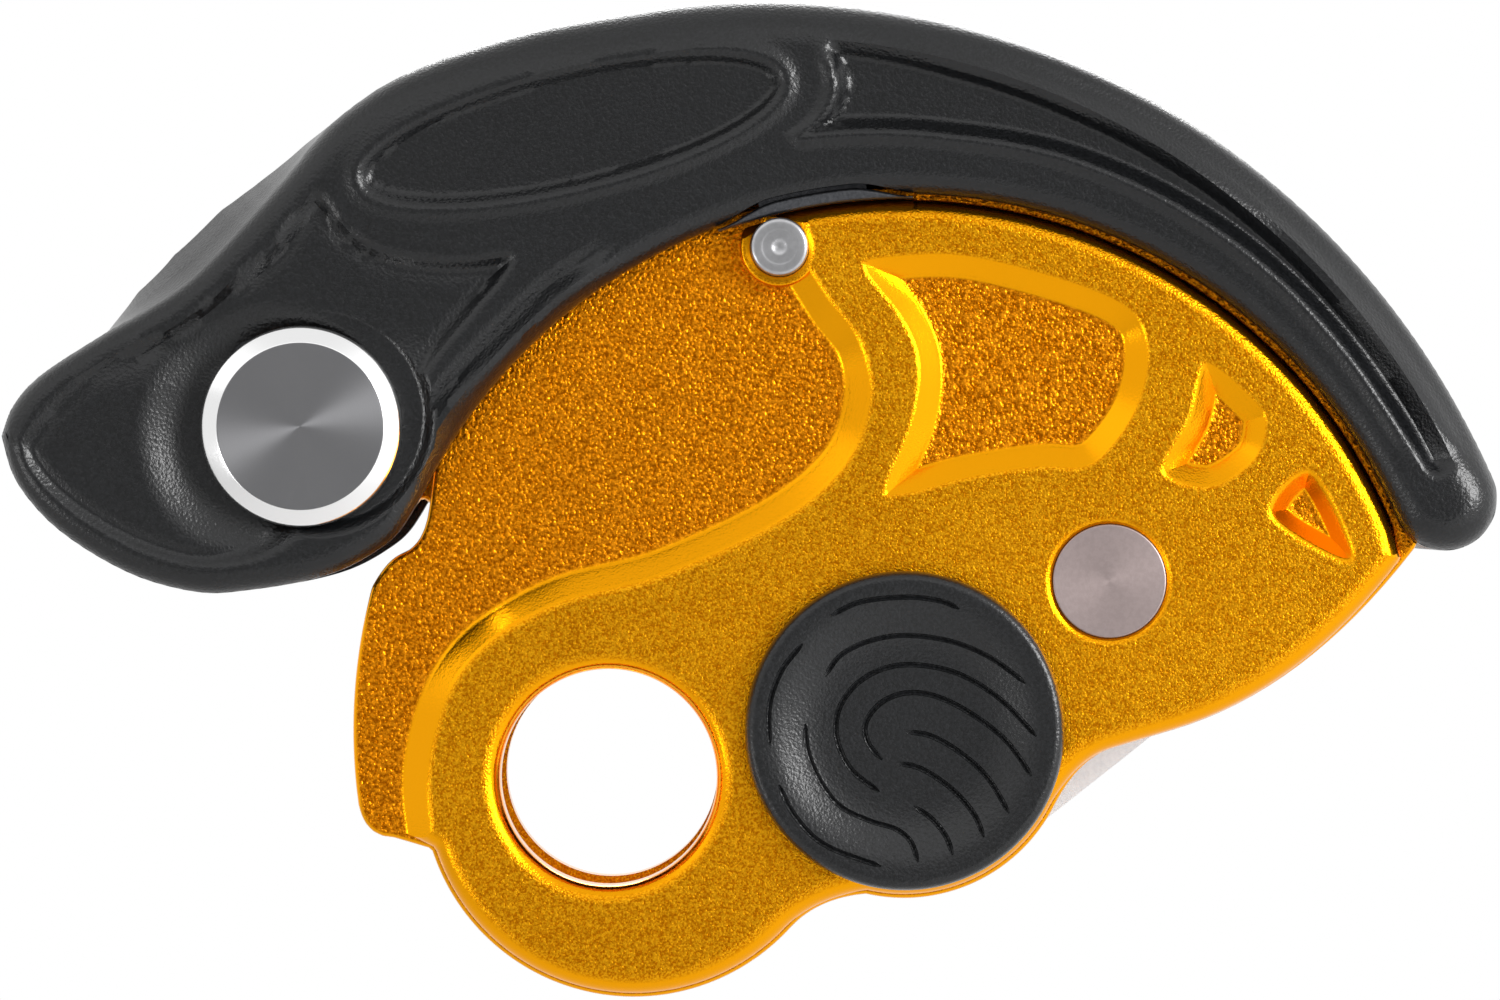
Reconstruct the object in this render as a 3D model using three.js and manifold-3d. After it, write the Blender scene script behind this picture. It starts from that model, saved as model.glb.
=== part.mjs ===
// Assisted braking belay device for a single rope, in millimetres.
// Seen from the front: x to the right, z up, y into the device.
// The origin is the centre of the carabiner eye, midway between the side plates.

import * as THREE from 'three';
import { mergeVertices } from 'three/addons/utils/BufferGeometryUtils.js';
import Module from 'manifold-3d';

const wasm = await Module();
wasm.setup();

// Layout of the axes
const pivotX = 22.4;
const pivotZ = 3.6;
const pinTurn = 153.24;

// Layers through the thickness
const ropeChannel = 13;
const plateThick = 3;
const landRise = 1.8;
const cheekThick = 3.2;
const seatGap = 0.3;
const overrun = 2;

// Side plates
const plateArcR = 41.4;
const flangeStep = 0.4;
const landInset = 1.5;
const landStep = 0.3;
const plateRound = 0.45;
const landRound = 1.3;
const recessRound = 1.5;
const eyeR = 8.2;
const eyeRound = 1.1;
const lobeR = 16.1;
const lobeX = 1.9;
const lobeZ = -0.6;
const capR = 12.05;
const capMargin = 0.75;
const pocketDepth = 1.5;
const pocketWall = 1.25;
const smallPocketWall = 0.95;
const earR = 9.9;

// Plate pivot
const postR = 4;
const neckR = 3;
const postHeadR = 7.4;
const postHeadThick = 1.8;
const drumR = 8;
const drumWaist = 0.9;
const bushWall = 0.9;
const washerThick = 0.6;
const wellR = 8.8;
const wellDepth = 2.4;
const retainerThick = 0.8;
const clipR = 5.6;
const clipMouthTurn = 70;

// Thumb rest
const capRise = 2.3;
const capRim = 0.9;
const capDish = 1;
const capPlug = 1;
const capPlugWall = 0.8;
const capHollow = 0.6;

// Rope pin and stop stud
const ropePinReach = 19.2;
const ropePinTurn = 36;
const ropePinR = 4.3;
const ropePinCollar = 0.6;
const studTurn = 104.5;
const studR = 2.2;
const studRise = 1.7;
const studCrown = 0.4;
const studBoss = 0.8;

// Brake shoe
const shoeWide = 12.8;
const shoeFromTurn = 68;
const shoeToTurn = 109;
const shoeRound = 0.6;
const rivetR = 2;
const rivetHeadR = 3.2;
const rivetHeadThick = 1.2;
const rivetInset = 1.4;

// Rope guide
const guideThick = 0.9;
const guideWidth = 14;

// Handle
const handleGap = 0.7;
const crownClear = 0.9;
const bowOver = 18.5;
const tipWide = 7.93;
const crownWall = 3;
const noseR = 22.8;
const edgeRound = 1.8;
const crownRound = 3.6;
const bulgeTrim = 3.2;
const ribThick = 1.4;
const armPanelDeep = 0.85;
const armPanelWall = 0.75;
const grooveWall = 0.55;
const grooveDeep = 0.6;
const panelLong = 16;
const panelHigh = 4.1;
const panelBorder = 0.8;
const dishR = 10.4;
const dishDeep = 1.1;
const leafThick = 1.2;
const leafWide = 5;
const leafEyeWall = 2.4;
const lipWide = 0.9;
const lipRise = 2.4;
const lipClear = 0.35;

// Handle pin
const pinOver = 9.6;
const pinR = 5;
const buttonR = 7.6;
const buttonThick = 2.4;
const buttonBevel = 1.3;
const bossWellR = 9.3;
const bossWell = 0.8;
const tailR = 3;
const tailRise = 0.8;
const rearHeadThick = 2;
const springWire = 1.3;
const springTurns = 4;
const springSteps = 8;
const anchorR = 1.2;
const anchorTurn = 20;

// Directions in degrees, counter-clockwise from +x as seen from the front
const cornerTurn = 22.5;
const landCornerTurn = 19;
const notchTurn = 149;
const webTurn = 114;
const tipTurn = 23.2;
const bowTurn = 203.86;
const crownTurn = 98;
const lipFromTurn = 89;
const lipToTurn = 110.5;

const TURN = 360;
const edgeMin = 0.1;
const chordSag = 0.08;
const rad = THREE.MathUtils.degToRad;

// Heights of the layers, measured from the middle plane
const channelHalf = ropeChannel / 2;
const recessY = channelHalf + plateThick;
const landY = recessY + landRise;
const cheekInY = recessY + seatGap;
const cheekOutY = cheekInY + cheekThick;
const bossY = cheekOutY - bossWell;
const landR = plateArcR - landInset;
const cheekR = landR + handleGap;
const crownInR = plateArcR + crownClear;
const capRingR = capR + capMargin;
const lipR = landR + lipClear;
const studReach = lipR - seatGap - studR;
const pinReach = plateArcR + pinOver;
const shoeInnerR = plateArcR - shoeWide;
const bowR = plateArcR + bowOver;

/** Place at a distance and direction from a centre, in the front view. */
function at(centre, radius, turn) {
  return new THREE.Vector2(
    centre.x + radius * Math.cos(rad(turn)),
    centre.y + radius * Math.sin(rad(turn)),
  );
}

const eye = new THREE.Vector2(0, 0);
const pivot = new THREE.Vector2(pivotX, pivotZ);
const pin = at(pivot, pinReach, pinTurn);
const lobe = new THREE.Vector2(lobeX, lobeZ);
const bow = at(pivot, bowR - cheekR - tipWide, bowTurn);
const ropePin = at(pivot, ropePinReach, ropePinTurn);
const stud = at(pivot, studReach, studTurn);

/** Place given as shares of a size, measured from a centre. */
function placed(centre, size, share) {
  return new THREE.Vector2(centre.x + share[0] * size, centre.y + share[1] * size);
}

/** Distance from the plate pivot to the outer bow of the handle, in a direction. */
function bowReach(turn, inset) {
  const off = bow.clone().sub(pivot);
  const along = off.x * Math.cos(rad(turn)) + off.y * Math.sin(rad(turn));
  const r = bowR - inset;
  return along + Math.sqrt(along * along - off.lengthSq() + r * r);
}

// Solids

/** Closed solid from a three.js geometry, with its shared corners joined. */
function solidOf(geometry) {
  geometry.deleteAttribute('normal');
  geometry.deleteAttribute('uv');
  const welded = mergeVertices(geometry);
  const places = welded.attributes.position;
  const corners = [];
  let volume = 0;
  const [a, b, c] = [new THREE.Vector3(), new THREE.Vector3(), new THREE.Vector3()];
  for (let i = 0; i < welded.index.count; i += 3) {
    const [p, q, r] = [0, 1, 2].map((k) => welded.index.getX(i + k));
    if (p === q || q === r || r === p) continue;
    corners.push([p, q, r]);
    a.fromBufferAttribute(places, p);
    b.fromBufferAttribute(places, q);
    c.fromBufferAttribute(places, r);
    volume += a.dot(b.cross(c));
  }
  const turned = volume < 0 ? corners.map(([p, q, r]) => [p, r, q]) : corners;
  return new wasm.Manifold(new wasm.Mesh({
    numProp: 3,
    vertProperties: Float32Array.from(places.array),
    triVerts: Uint32Array.from(turned.flat()),
  }));
}

/** Corner of an outline moved inwards by a distance, along its mitre. */
function inset(before, corner, after, distance) {
  const one = corner.clone().sub(before).normalize();
  const two = after.clone().sub(corner).normalize();
  const mitre = new THREE.Vector2(-one.y - two.y, one.x + two.x);
  return mitre.multiplyScalar((distance + distance) / mitre.lengthSq()).add(corner);
}

/** How far the points between two places of a chain stray from the straight chord. */
function strayed(chain, from, to) {
  const chord = new THREE.Line3(
    new THREE.Vector3(chain[from].x, chain[from].y, 0),
    new THREE.Vector3(chain[to].x, chain[to].y, 0),
  );
  const near = new THREE.Vector3();
  let most = 0;
  for (const point of chain.slice(from + 1, to)) {
    const place = new THREE.Vector3(point.x, point.y, 0);
    most = Math.max(most, chord.closestPointToPoint(place, true, near).distanceTo(place));
  }
  return most;
}

/** Points of an outline: as few as its curves allow, and none that a rounded rim turns over. */
function rimPoints(outline, round, segments) {
  const chain = outline.extractPoints(segments).shape;
  if (THREE.ShapeUtils.isClockWise(chain)) chain.reverse();
  if (chain[0].distanceTo(chain[chain.length - 1]) < edgeMin) chain.pop();
  const points = [chain[0]];
  for (let i = 0; i < chain.length - 1;) {
    let next = i + 1;
    while (next < chain.length - 1 && strayed(chain, i, next + 1) < chordSag) next += 1;
    if (points[points.length - 1].distanceTo(chain[next]) > edgeMin) points.push(chain[next]);
    i = next;
  }
  const around = (i) => points[(i + points.length) % points.length];
  for (let i = 0; i < points.length; i += 1) {
    const edge = around(i + 1).clone().sub(around(i));
    const from = inset(around(i - 1), around(i), around(i + 1), round);
    const to = inset(around(i), around(i + 1), around(i + 2), round);
    if (to.sub(from).dot(edge) <= 0) {
      points.splice((i + 1) % points.length, 1);
      i = -1;
    }
  }
  return points;
}

/** Slab of a front-view outline between two depths, with rounded rims if asked. */
function slab(outline, front, back, round = 0, rise = round, steps = 2, segments = 10) {
  const shape = new THREE.Shape(rimPoints(outline, round, segments));
  const geometry = new THREE.ExtrudeGeometry(shape, {
    depth: back - front - rise - rise,
    bevelEnabled: round > 0,
    bevelThickness: rise,
    bevelSize: round,
    bevelOffset: -round,
    bevelSegments: steps,
  });
  geometry.translate(0, 0, rise - back);
  geometry.rotateX(Math.PI / 2);
  return solidOf(geometry);
}

/** Solid of revolution about an axis that runs through the thickness at a place. */
function turnedAt(centre, profile, segments) {
  const points = profile.map(([r, y]) => new THREE.Vector2(r, y));
  const geometry = new THREE.LatheGeometry(points, segments);
  geometry.translate(centre.x, 0, centre.y);
  return solidOf(geometry);
}

/** Plain round bar between two depths. */
function bar(centre, radius, front, back, segments = 24) {
  return turnedAt(centre, [[0, front], [radius, front], [radius, back], [0, back]], segments);
}

/** Ring between two depths. */
function ring(centre, inner, outer, front, back, segments = 24) {
  const profile = [[inner, front], [outer, front], [outer, back], [inner, back], [inner, front]];
  return turnedAt(centre, profile, segments);
}

/** Outline of a band about a centre, between two radii and two directions. */
function band(centre, inner, outer, from, to) {
  const shape = new THREE.Shape();
  const start = at(centre, inner, from);
  shape.moveTo(start.x, start.y);
  shape.absarc(centre.x, centre.y, outer, rad(from), rad(to), false);
  shape.absarc(centre.x, centre.y, inner, rad(to), rad(from), true);
  return shape;
}

/** The same solid on the other side of the middle plane. */
function mirrored(solid) {
  return solid.mirror([0, 1, 0]);
}

const root = new THREE.Group();
const rearBody = new THREE.Group();
const swingBody = new THREE.Group();
const handleBody = new THREE.Group();
root.add(rearBody, swingBody, handleBody);

/** Adds a named piece with its own finish to a body. */
function piece(body, name, solid, finish) {
  const data = solid.getMesh();
  const geometry = new THREE.BufferGeometry();
  geometry.setAttribute('position', new THREE.BufferAttribute(data.vertProperties, 3));
  geometry.setIndex(new THREE.BufferAttribute(data.triVerts, 1));
  geometry.computeVertexNormals();
  const mesh = new THREE.Mesh(geometry, new THREE.MeshStandardMaterial(finish));
  mesh.name = name;
  body.add(mesh);
}

const gold = { color: 0xcd8205, roughness: 0.38, metalness: 0.9 };
const moulded = { color: 0x323335, roughness: 0.62, metalness: 0 };
const turnedSteel = { color: 0xb9babb, roughness: 0.25, metalness: 1 };
const brushedSteel = { color: 0x9b8f8c, roughness: 0.45, metalness: 1 };
const darkSteel = { color: 0x4c4d4f, roughness: 0.5, metalness: 0.8 };
const bronze = { color: 0x9c7040, roughness: 0.4, metalness: 1 };
const springSteel = { color: 0x8d9094, roughness: 0.35, metalness: 1 };

// Outline of the side plates

const toeShare = [0.496, 0];
const scoopFromShare = [0.383, -0.034];
const scoopBendShare = [0.321, -0.052];
const edgeBendShare = [0.733, 0.071];
const cornerFromShare = [0.93, 0.324];
const cornerBendShare = [0.959, 0.355];
const shoulderShare = [-0.87, 0.408];
const notchBendShare = [-0.879, 0.338];
const notchEndShare = [-0.918, 0.324];
const flangeBendShare = [-0.947, 0.314];
const flangeTurn = 165;
const flangeEndTurn = 186.5;
const heelBendShare = [-0.998, -0.198];
const heelShare = [-0.935, -0.198];
const lobeFromTurn = 197.5;
const lobeToTurn = 318;
const neckBendShare = [-0.157, -0.309];
const ringFromTurn = -103;
const scoopRingTurn = -27;
const straightRingTurn = -56;
const rearToeShare = [0.5, 0.002];

/** Lower edge that both plates share: from the lobe round the pivot to the corner. */
function lowerEdge(shape, scooped, trim) {
  const onPlate = (share) => placed(pivot, plateArcR - trim, share);
  shape.absarc(lobe.x, lobe.y, lobeR - trim, rad(lobeFromTurn), rad(lobeToTurn), false);
  const bend = onPlate(neckBendShare);
  const neck = at(pivot, capRingR - trim, ringFromTurn);
  shape.quadraticCurveTo(bend.x, bend.y, neck.x, neck.y);
  const ringEnd = scooped ? scoopRingTurn : straightRingTurn;
  shape.absarc(pivot.x, pivot.y, capRingR - trim, rad(ringFromTurn), rad(ringEnd), false);
  if (scooped) {
    const scoop = onPlate(scoopBendShare);
    const out = onPlate(scoopFromShare);
    shape.quadraticCurveTo(scoop.x, scoop.y, out.x, out.y);
  }
  const toe = onPlate(scooped ? toeShare : rearToeShare);
  shape.lineTo(toe.x, toe.y);
  const edge = onPlate(edgeBendShare);
  const cornerFrom = trim > 0 ? at(pivot, landR, landCornerTurn) : onPlate(cornerFromShare);
  shape.quadraticCurveTo(edge.x, edge.y, cornerFrom.x, cornerFrom.y);
}

/** Whole outline of a side plate. The rear one is straight at the scoop and has the ear. */
function plateOutline(isFront) {
  const onPlate = (share) => placed(pivot, plateArcR, share);
  const shape = new THREE.Shape();
  const start = at(pivot, plateArcR, cornerTurn);
  shape.moveTo(start.x, start.y);
  shape.absarc(pivot.x, pivot.y, plateArcR, rad(cornerTurn), rad(isFront ? notchTurn : webTurn), false);
  if (!isFront) {
    shape.absarc(pin.x, pin.y, earR, rad(earFromTurn), rad(earToTurn), false);
  }
  const shoulder = onPlate(shoulderShare);
  const notchBend = onPlate(notchBendShare);
  const notchEnd = onPlate(notchEndShare);
  const flangeBend = onPlate(flangeBendShare);
  const flange = at(pivot, plateArcR + flangeStep, flangeTurn);
  shape.lineTo(shoulder.x, shoulder.y);
  shape.quadraticCurveTo(notchBend.x, notchBend.y, notchEnd.x, notchEnd.y);
  shape.quadraticCurveTo(flangeBend.x, flangeBend.y, flange.x, flange.y);
  shape.absarc(pivot.x, pivot.y, plateArcR + flangeStep, rad(flangeTurn), rad(flangeEndTurn), false);
  const heelBend = onPlate(heelBendShare);
  const heel = onPlate(heelShare);
  shape.quadraticCurveTo(heelBend.x, heelBend.y, heel.x, heel.y);
  lowerEdge(shape, isFront, 0);
  const cornerBend = onPlate(cornerBendShare);
  shape.quadraticCurveTo(cornerBend.x, cornerBend.y, start.x, start.y);
  return shape;
}

const earFromTurn = 99;
const earToTurn = 327;

// Raised land: the plate outline less its rim and its recess

const landTopTurn = 106;
const landLeftTurn = 150;

/** Outline of the raised land before the recess is cut away. */
function landOutline(isFront) {
  const shape = new THREE.Shape();
  const start = at(pivot, landR, cornerTurn);
  shape.moveTo(start.x, start.y);
  shape.absarc(pivot.x, pivot.y, landR, rad(cornerTurn), rad(landTopTurn), false);
  const left = at(lobe, lobeR - landStep, landLeftTurn);
  shape.lineTo(left.x, left.y);
  shape.absarc(lobe.x, lobe.y, lobeR - landStep, rad(landLeftTurn), rad(lobeFromTurn), false);
  lowerEdge(shape, isFront, landStep);
  return shape;
}

const recessTopShares = [
  [-0.2, 1.02], [-0.18, 0.9], [-0.12, 0.765], [-0.045, 0.63], [-0.068, 0.5], [-0.215, 0.375],
  [-0.435, 0.272], [-0.64, 0.215], [-0.795, 0.105], [-0.858, -0.08], [-0.835, -0.27],
];
const recessOuterShares = [[-1.15, -0.3], [-1.2, 0.6], [-0.5, 1.25]];

/** Cutter of the recess that clears the sweep of the handle's nose. */
function recessCutter(front, floor) {
  const shape = new THREE.Shape();
  const line = recessTopShares.map((share) => placed(pivot, plateArcR, share));
  shape.moveTo(line[0].x, line[0].y);
  shape.splineThru(line.slice(1));
  for (const share of recessOuterShares) {
    const corner = placed(pivot, plateArcR, share);
    shape.lineTo(corner.x, corner.y);
  }
  return slab(shape, front - recessRound, floor, recessRound, recessRound, 2, 3);
}

const largePocketShares = [
  [-0.082, 0.853], [0.007, 0.877], [0.138, 0.872], [0.331, 0.819], [0.428, 0.766], [0.454, 0.688],
  [0.435, 0.592], [0.384, 0.512], [0.331, 0.473], [0.244, 0.473], [0.111, 0.452], [0.007, 0.425],
  [-0.042, 0.437], [0.007, 0.565], [0.019, 0.669], [-0.012, 0.751],
];
const middlePocketShares = [
  [0.55, 0.68], [0.652, 0.601], [0.669, 0.556], [0.645, 0.488], [0.56, 0.437], [0.466, 0.47],
  [0.514, 0.572],
];
const smallPocketShares = [[0.745, 0.484], [0.83, 0.33], [0.79, 0.305], [0.66, 0.395]];

/** Cutter of a shallow pocket with sloping walls in the raised land. */
function pocketCutter(shares, slope) {
  const line = shares.map((share) => placed(pivot, plateArcR, share));
  const shape = new THREE.Shape(line);
  return slab(shape, -landY - pocketDepth, -landY + pocketDepth, slope, pocketDepth - seatGap, 2, 1);
}

/** Bore with a rounded lead-in at the outer face of a side plate. */
function eyeCutter(radius) {
  const lead = eyeRound * (1 - Math.SQRT1_2);
  return turnedAt(eye, [
    [0, -channelHalf + overrun], [radius, -channelHalf + overrun], [radius, -landY + eyeRound],
    [radius + lead, -landY + lead], [radius + eyeRound, -landY],
    [radius + eyeRound, -landY - overrun], [0, -landY - overrun],
  ], 36);
}

/** Disc with a rounded outer rim that trims the land beside the handle. */
function landTrim() {
  return turnedAt(pivot, [
    [0, 0], [landR, 0], [landR, -landY + landRound], [landR - landRound / 2, -landY + landRound / 4],
    [landR - landRound, -landY], [0, -landY],
  ], 90);
}

/** Side plate in the front position, before its own holes. */
function sidePlate(isFront) {
  const base = slab(plateOutline(isFront), -recessY, -channelHalf, plateRound, plateRound, 1, 12);
  const landBase = -channelHalf - plateThick / 2;
  const land = slab(landOutline(isFront), -landY, landBase, landRound, landRound, 2, 12)
    .subtract(recessCutter(-landY, -recessY));
  return base.add(land).subtract(eyeCutter(eyeR));
}

const studBossSolid = bar(stud, studR + studBoss, -landY + studCrown, -channelHalf - plateRound, 24)
  .intersect(landTrim());
const well = bar(pivot, wellR, -landY - overrun, -landY + wellDepth, 40);
const plateBoreR = postR + seatGap + bushWall + seatGap;
const plateBore = bar(pivot, plateBoreR, -landY - overrun, overrun - channelHalf, 32);
const frontPlate = sidePlate(true)
  .add(studBossSolid)
  .subtract(pocketCutter(largePocketShares, pocketWall))
  .subtract(pocketCutter(middlePocketShares, pocketWall))
  .subtract(pocketCutter(smallPocketShares, smallPocketWall))
  .subtract(well)
  .subtract(plateBore)
  .subtract(bar(ropePin, ropePinR + seatGap, -landY - overrun, overrun - channelHalf))
  .subtract(bar(stud, studR + seatGap, -landY - overrun, overrun - channelHalf, 24));
piece(swingBody, 'front_plate', frontPlate, gold);

const shoeMid = (shoeInnerR + plateArcR) / 2;
const shoeSpan = (shoeToTurn - shoeFromTurn) / 4;
const rivetPlaces = [
  at(pivot, shoeMid, shoeFromTurn + shoeSpan),
  at(pivot, shoeMid, shoeToTurn - shoeSpan),
];
const hubR = pinR + seatGap + bushWall + seatGap;
const coilR = (hubR + seatGap + springWire / 2) / Math.cos(rad(TURN / springSteps / 2));
const springOuterR = coilR + springWire / 2;
const anchor = at(pin, springOuterR + seatGap + anchorR, anchorTurn);
let rearPlate = mirrored(sidePlate(false))
  .subtract(bar(pivot, postR + seatGap, 0, landY + overrun))
  .subtract(bar(pin, pinR + seatGap, 0, landY + overrun))
  .subtract(bar(anchor, anchorR + seatGap, 0, landY + overrun, 16));
for (const place of rivetPlaces) {
  rearPlate = rearPlate.subtract(bar(place, rivetR + seatGap, 0, landY + overrun, 20));
}
piece(rearBody, 'rear_plate', rearPlate, gold);

// Pivot: post, drum, bush, washers and clip

const wellFloor = -landY + wellDepth;
const neckFront = -landY;
const post = turnedAt(pivot, [
  [0, neckFront], [neckR, neckFront], [neckR, wellFloor - seatGap], [postR, wellFloor - seatGap],
  [postR, landY + seatGap], [postHeadR, landY + seatGap],
  [postHeadR, landY + seatGap + postHeadThick / 2],
  [postHeadR - postHeadThick / 2, landY + seatGap + postHeadThick],
  [0, landY + seatGap + postHeadThick],
], 24);
piece(rearBody, 'pivot_post', post, turnedSteel);

const drumFront = -channelHalf + seatGap + washerThick + seatGap;
const drumBack = channelHalf - seatGap;
const drumMid = (drumFront + drumBack) / 2;
const drumBore = postR + seatGap;
const drum = turnedAt(pivot, [
  [drumBore, drumFront], [drumR, drumFront], [drumR - drumWaist * 0.7, (drumFront + drumMid) / 2],
  [drumR - drumWaist, drumMid], [drumR - drumWaist * 0.7, (drumBack + drumMid) / 2],
  [drumR, drumBack], [drumBore, drumBack], [drumBore, drumFront],
], 24);
piece(rearBody, 'rope_drum', drum, turnedSteel);

const drumWasher = ring(pivot, drumBore, drumR, -channelHalf + seatGap, drumFront - seatGap);
piece(swingBody, 'drum_washer', drumWasher, bronze);
const plateBush = ring(pivot, drumBore, drumBore + bushWall, wellFloor, -channelHalf);
piece(swingBody, 'plate_bush', plateBush, bronze);

const retainerFront = wellFloor - seatGap - retainerThick;
const retainer = ring(pivot, neckR + seatGap, wellR - seatGap - capPlugWall - seatGap, retainerFront,
  wellFloor - seatGap);
const clipFront = retainerFront - seatGap - retainerThick;
const clip = slab(
  band(pivot, neckR + seatGap, clipR, clipMouthTurn / 2, TURN - clipMouthTurn / 2),
  clipFront, retainerFront - seatGap, 0, 0, 1, 12,
);
piece(swingBody, 'retaining_washer', retainer, darkSteel);
piece(rearBody, 'retaining_clip', clip, springSteel);

// Thumb rest

const capBack = -landY - seatGap;
const capFront = capBack - capRise;
const plugR = wellR - seatGap;
const cap = turnedAt(pivot, [
  [0, capFront + capDish], [capR * 0.5, capFront + capDish * 0.8],
  [capR - capRim - capRim, capFront], [capR - capRim, capFront],
  [capR - capRim * 0.3, capFront + capRim * 0.3],
  [capR, capFront + capRim], [capR, capBack], [plugR, capBack], [plugR, capBack + capPlug],
  [plugR - capPlugWall, capBack + capPlug], [plugR - capPlugWall, capBack],
  [plugR - capPlugWall, capBack - capHollow], [0, capBack - capHollow],
], 40);
piece(swingBody, 'thumb_cap', cap, moulded);

// Rope pin and stop stud

const pinCollarR = ropePinR + ropePinCollar;
const ropePinBack = channelHalf - seatGap - guideThick - seatGap;
const ropePinSolid = turnedAt(ropePin, [
  [0, -landY], [ropePinR, -landY], [ropePinR, -channelHalf + seatGap],
  [pinCollarR, -channelHalf + seatGap], [pinCollarR, -channelHalf + seatGap + ropePinCollar],
  [ropePinR, -channelHalf + seatGap + ropePinCollar * 2], [ropePinR, ropePinBack], [0, ropePinBack],
], 24);
piece(swingBody, 'rope_pin', ropePinSolid, brushedSteel);

const studFront = -landY - studRise;
const studSolid = turnedAt(stud, [
  [0, studFront], [studR - studCrown, studFront], [studR, studFront + studCrown], [studR, -channelHalf],
  [0, -channelHalf],
], 28);
piece(swingBody, 'stop_stud', studSolid, turnedSteel);

// Brake shoe and its rivets

const shoeOuterR = plateArcR - shoeRound;
const shoeY = channelHalf - seatGap;
const shoeBand = band(pivot, shoeInnerR, shoeOuterR, shoeFromTurn, shoeToTurn);
let shoe = slab(shoeBand, -shoeY, shoeY, shoeRound, shoeRound, 1, 10);
const rivetFront = -shoeY + rivetInset;
const rivetBack = landY + seatGap + rivetHeadThick;
for (const place of rivetPlaces) {
  shoe = shoe.subtract(bar(place, rivetR + seatGap, -shoeY - overrun, shoeY + overrun, 20));
}
piece(rearBody, 'brake_shoe', shoe, brushedSteel);
const rivetNames = ['shoe_rivet_lower', 'shoe_rivet_upper'];
rivetPlaces.forEach((place, i) => {
  const rivet = turnedAt(place, [
    [0, rivetFront], [rivetR, rivetFront], [rivetR, landY + seatGap], [rivetHeadR, landY + seatGap],
    [rivetHeadR, rivetBack - rivetHeadThick / 2],
    [rivetHeadR - rivetHeadThick / 2, rivetBack], [0, rivetBack],
  ], 20);
  piece(rearBody, rivetNames[i], rivet, turnedSteel);
});

// Rope guide: a wear plate at the entrance, round the drum

const guideFromTurn = -52;
const guideToTurn = 8;
const guideInnerR = drumR + seatGap + seatGap;
const guide = slab(band(pivot, guideInnerR, guideInnerR + guideWidth, guideFromTurn, guideToTurn),
  channelHalf - seatGap - guideThick, channelHalf - seatGap, 0, 0, 1, 12)
  .intersect(slab(plateOutline(false), 0, recessY, plateRound, plateRound, 1, 12));
piece(rearBody, 'rope_guide', guide, turnedSteel);

// Handle shell

const bulgeShares = [
  [0.104, 1.015], [-0.057, 0.889], [-0.221, 0.764], [-0.377, 0.626], [-0.524, 0.475], [-0.669, 0.316],
];
const bulgeInnerShares = [[-0.3, -0.1], [0.55, 0.5]];
const rimShares = [
  [0.12, 1.04], [0.041, 0.956], [-0.055, 0.829], [-0.213, 0.654], [-0.371, 0.491], [-0.529, 0.382],
  [-0.667, 0.303], [-0.868, 0.173], [-0.96, 0.07], [-0.999, -0.03], [-0.965, -0.15], [-0.9, -0.25],
  [-0.807, -0.344], [-0.66, -0.44], [-0.508, -0.51], [-0.326, -0.55], [-0.176, -0.543], [-0.01, -0.517],
  [0.123, -0.477], [0.239, -0.417], [0.322, -0.344], [0.372, -0.284], [0.43, -0.225],
];
const shoulderShares = [[0.82, 1.39], [0.575, 1.31], [0.267, 1.152]];
const hollowShares = [
  [0.84, 1.25], [0.56, 1.12], [0.3, 0.96], [0.08, 0.78], [-0.1, 0.65], [-0.24, 0.5], [-0.38, 0.37],
  [-0.54, 0.24], [-0.72, 0.12], [-0.86, 0],
];
const mouthShares = [[-1.05, -0.12], [-0.95, -0.8], [0.2, -1.05], [1, -0.6]];

/** Silhouette of the cheeks: tip, bow, waist and nose, closed across the plates. */
function cheekOutline() {
  const shape = new THREE.Shape();
  const tipReach = bowReach(tipTurn, 0);
  const tipMid = at(pivot, (cheekR + tipReach) / 2, tipTurn);
  const tipR = (tipReach - cheekR) / 2;
  const start = at(pivot, cheekR, tipTurn);
  shape.moveTo(pivot.x, pivot.y);
  shape.lineTo(start.x, start.y);
  shape.absarc(tipMid.x, tipMid.y, tipR, rad(tipTurn - TURN / 2), rad(tipTurn), false);
  const tipOut = at(pivot, tipReach, tipTurn);
  const bowFrom = Math.atan2(tipOut.y - bow.y, tipOut.x - bow.x);
  shape.absarc(bow.x, bow.y, bowR, bowFrom, rad(crownTurn), false);
  const onNose = (share) => placed(pin, noseR, share);
  shape.splineThru([...shoulderShares, ...rimShares].map(onNose));
  return shape;
}

/** Slightly wider outline that only rounds the outer bow of the arm. */
function bowOutline() {
  const shape = new THREE.Shape();
  const low = tipTurn - TURN / 12;
  const reach = bowR + seatGap / 2;
  const start = at(bow, reach, low);
  shape.moveTo(pivot.x, pivot.y - bowR);
  shape.lineTo(start.x, start.y);
  shape.absarc(bow.x, bow.y, reach, rad(low), rad(crownTurn), false);
  const left = at(bow, reach, crownTurn);
  shape.lineTo(left.x - bowR, left.y);
  shape.lineTo(left.x - bowR, pivot.y - bowR);
  return shape;
}

/** Cutter of the inner edge of the cheeks, flared at both outer faces. */
function innerEdgeCutter() {
  const flare = edgeRound * (1 - Math.SQRT1_2);
  const half = [
    [cheekR, 0], [cheekR, cheekOutY - edgeRound], [cheekR + flare, cheekOutY - flare],
    [cheekR + edgeRound, cheekOutY], [cheekR + edgeRound, cheekOutY + overrun], [0, cheekOutY + overrun],
  ];
  const mirrorHalf = half.slice(1).reverse().map(([r, y]) => [r, -y]);
  return turnedAt(pivot, [...mirrorHalf, ...half.slice(1)], 60);
}

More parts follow.
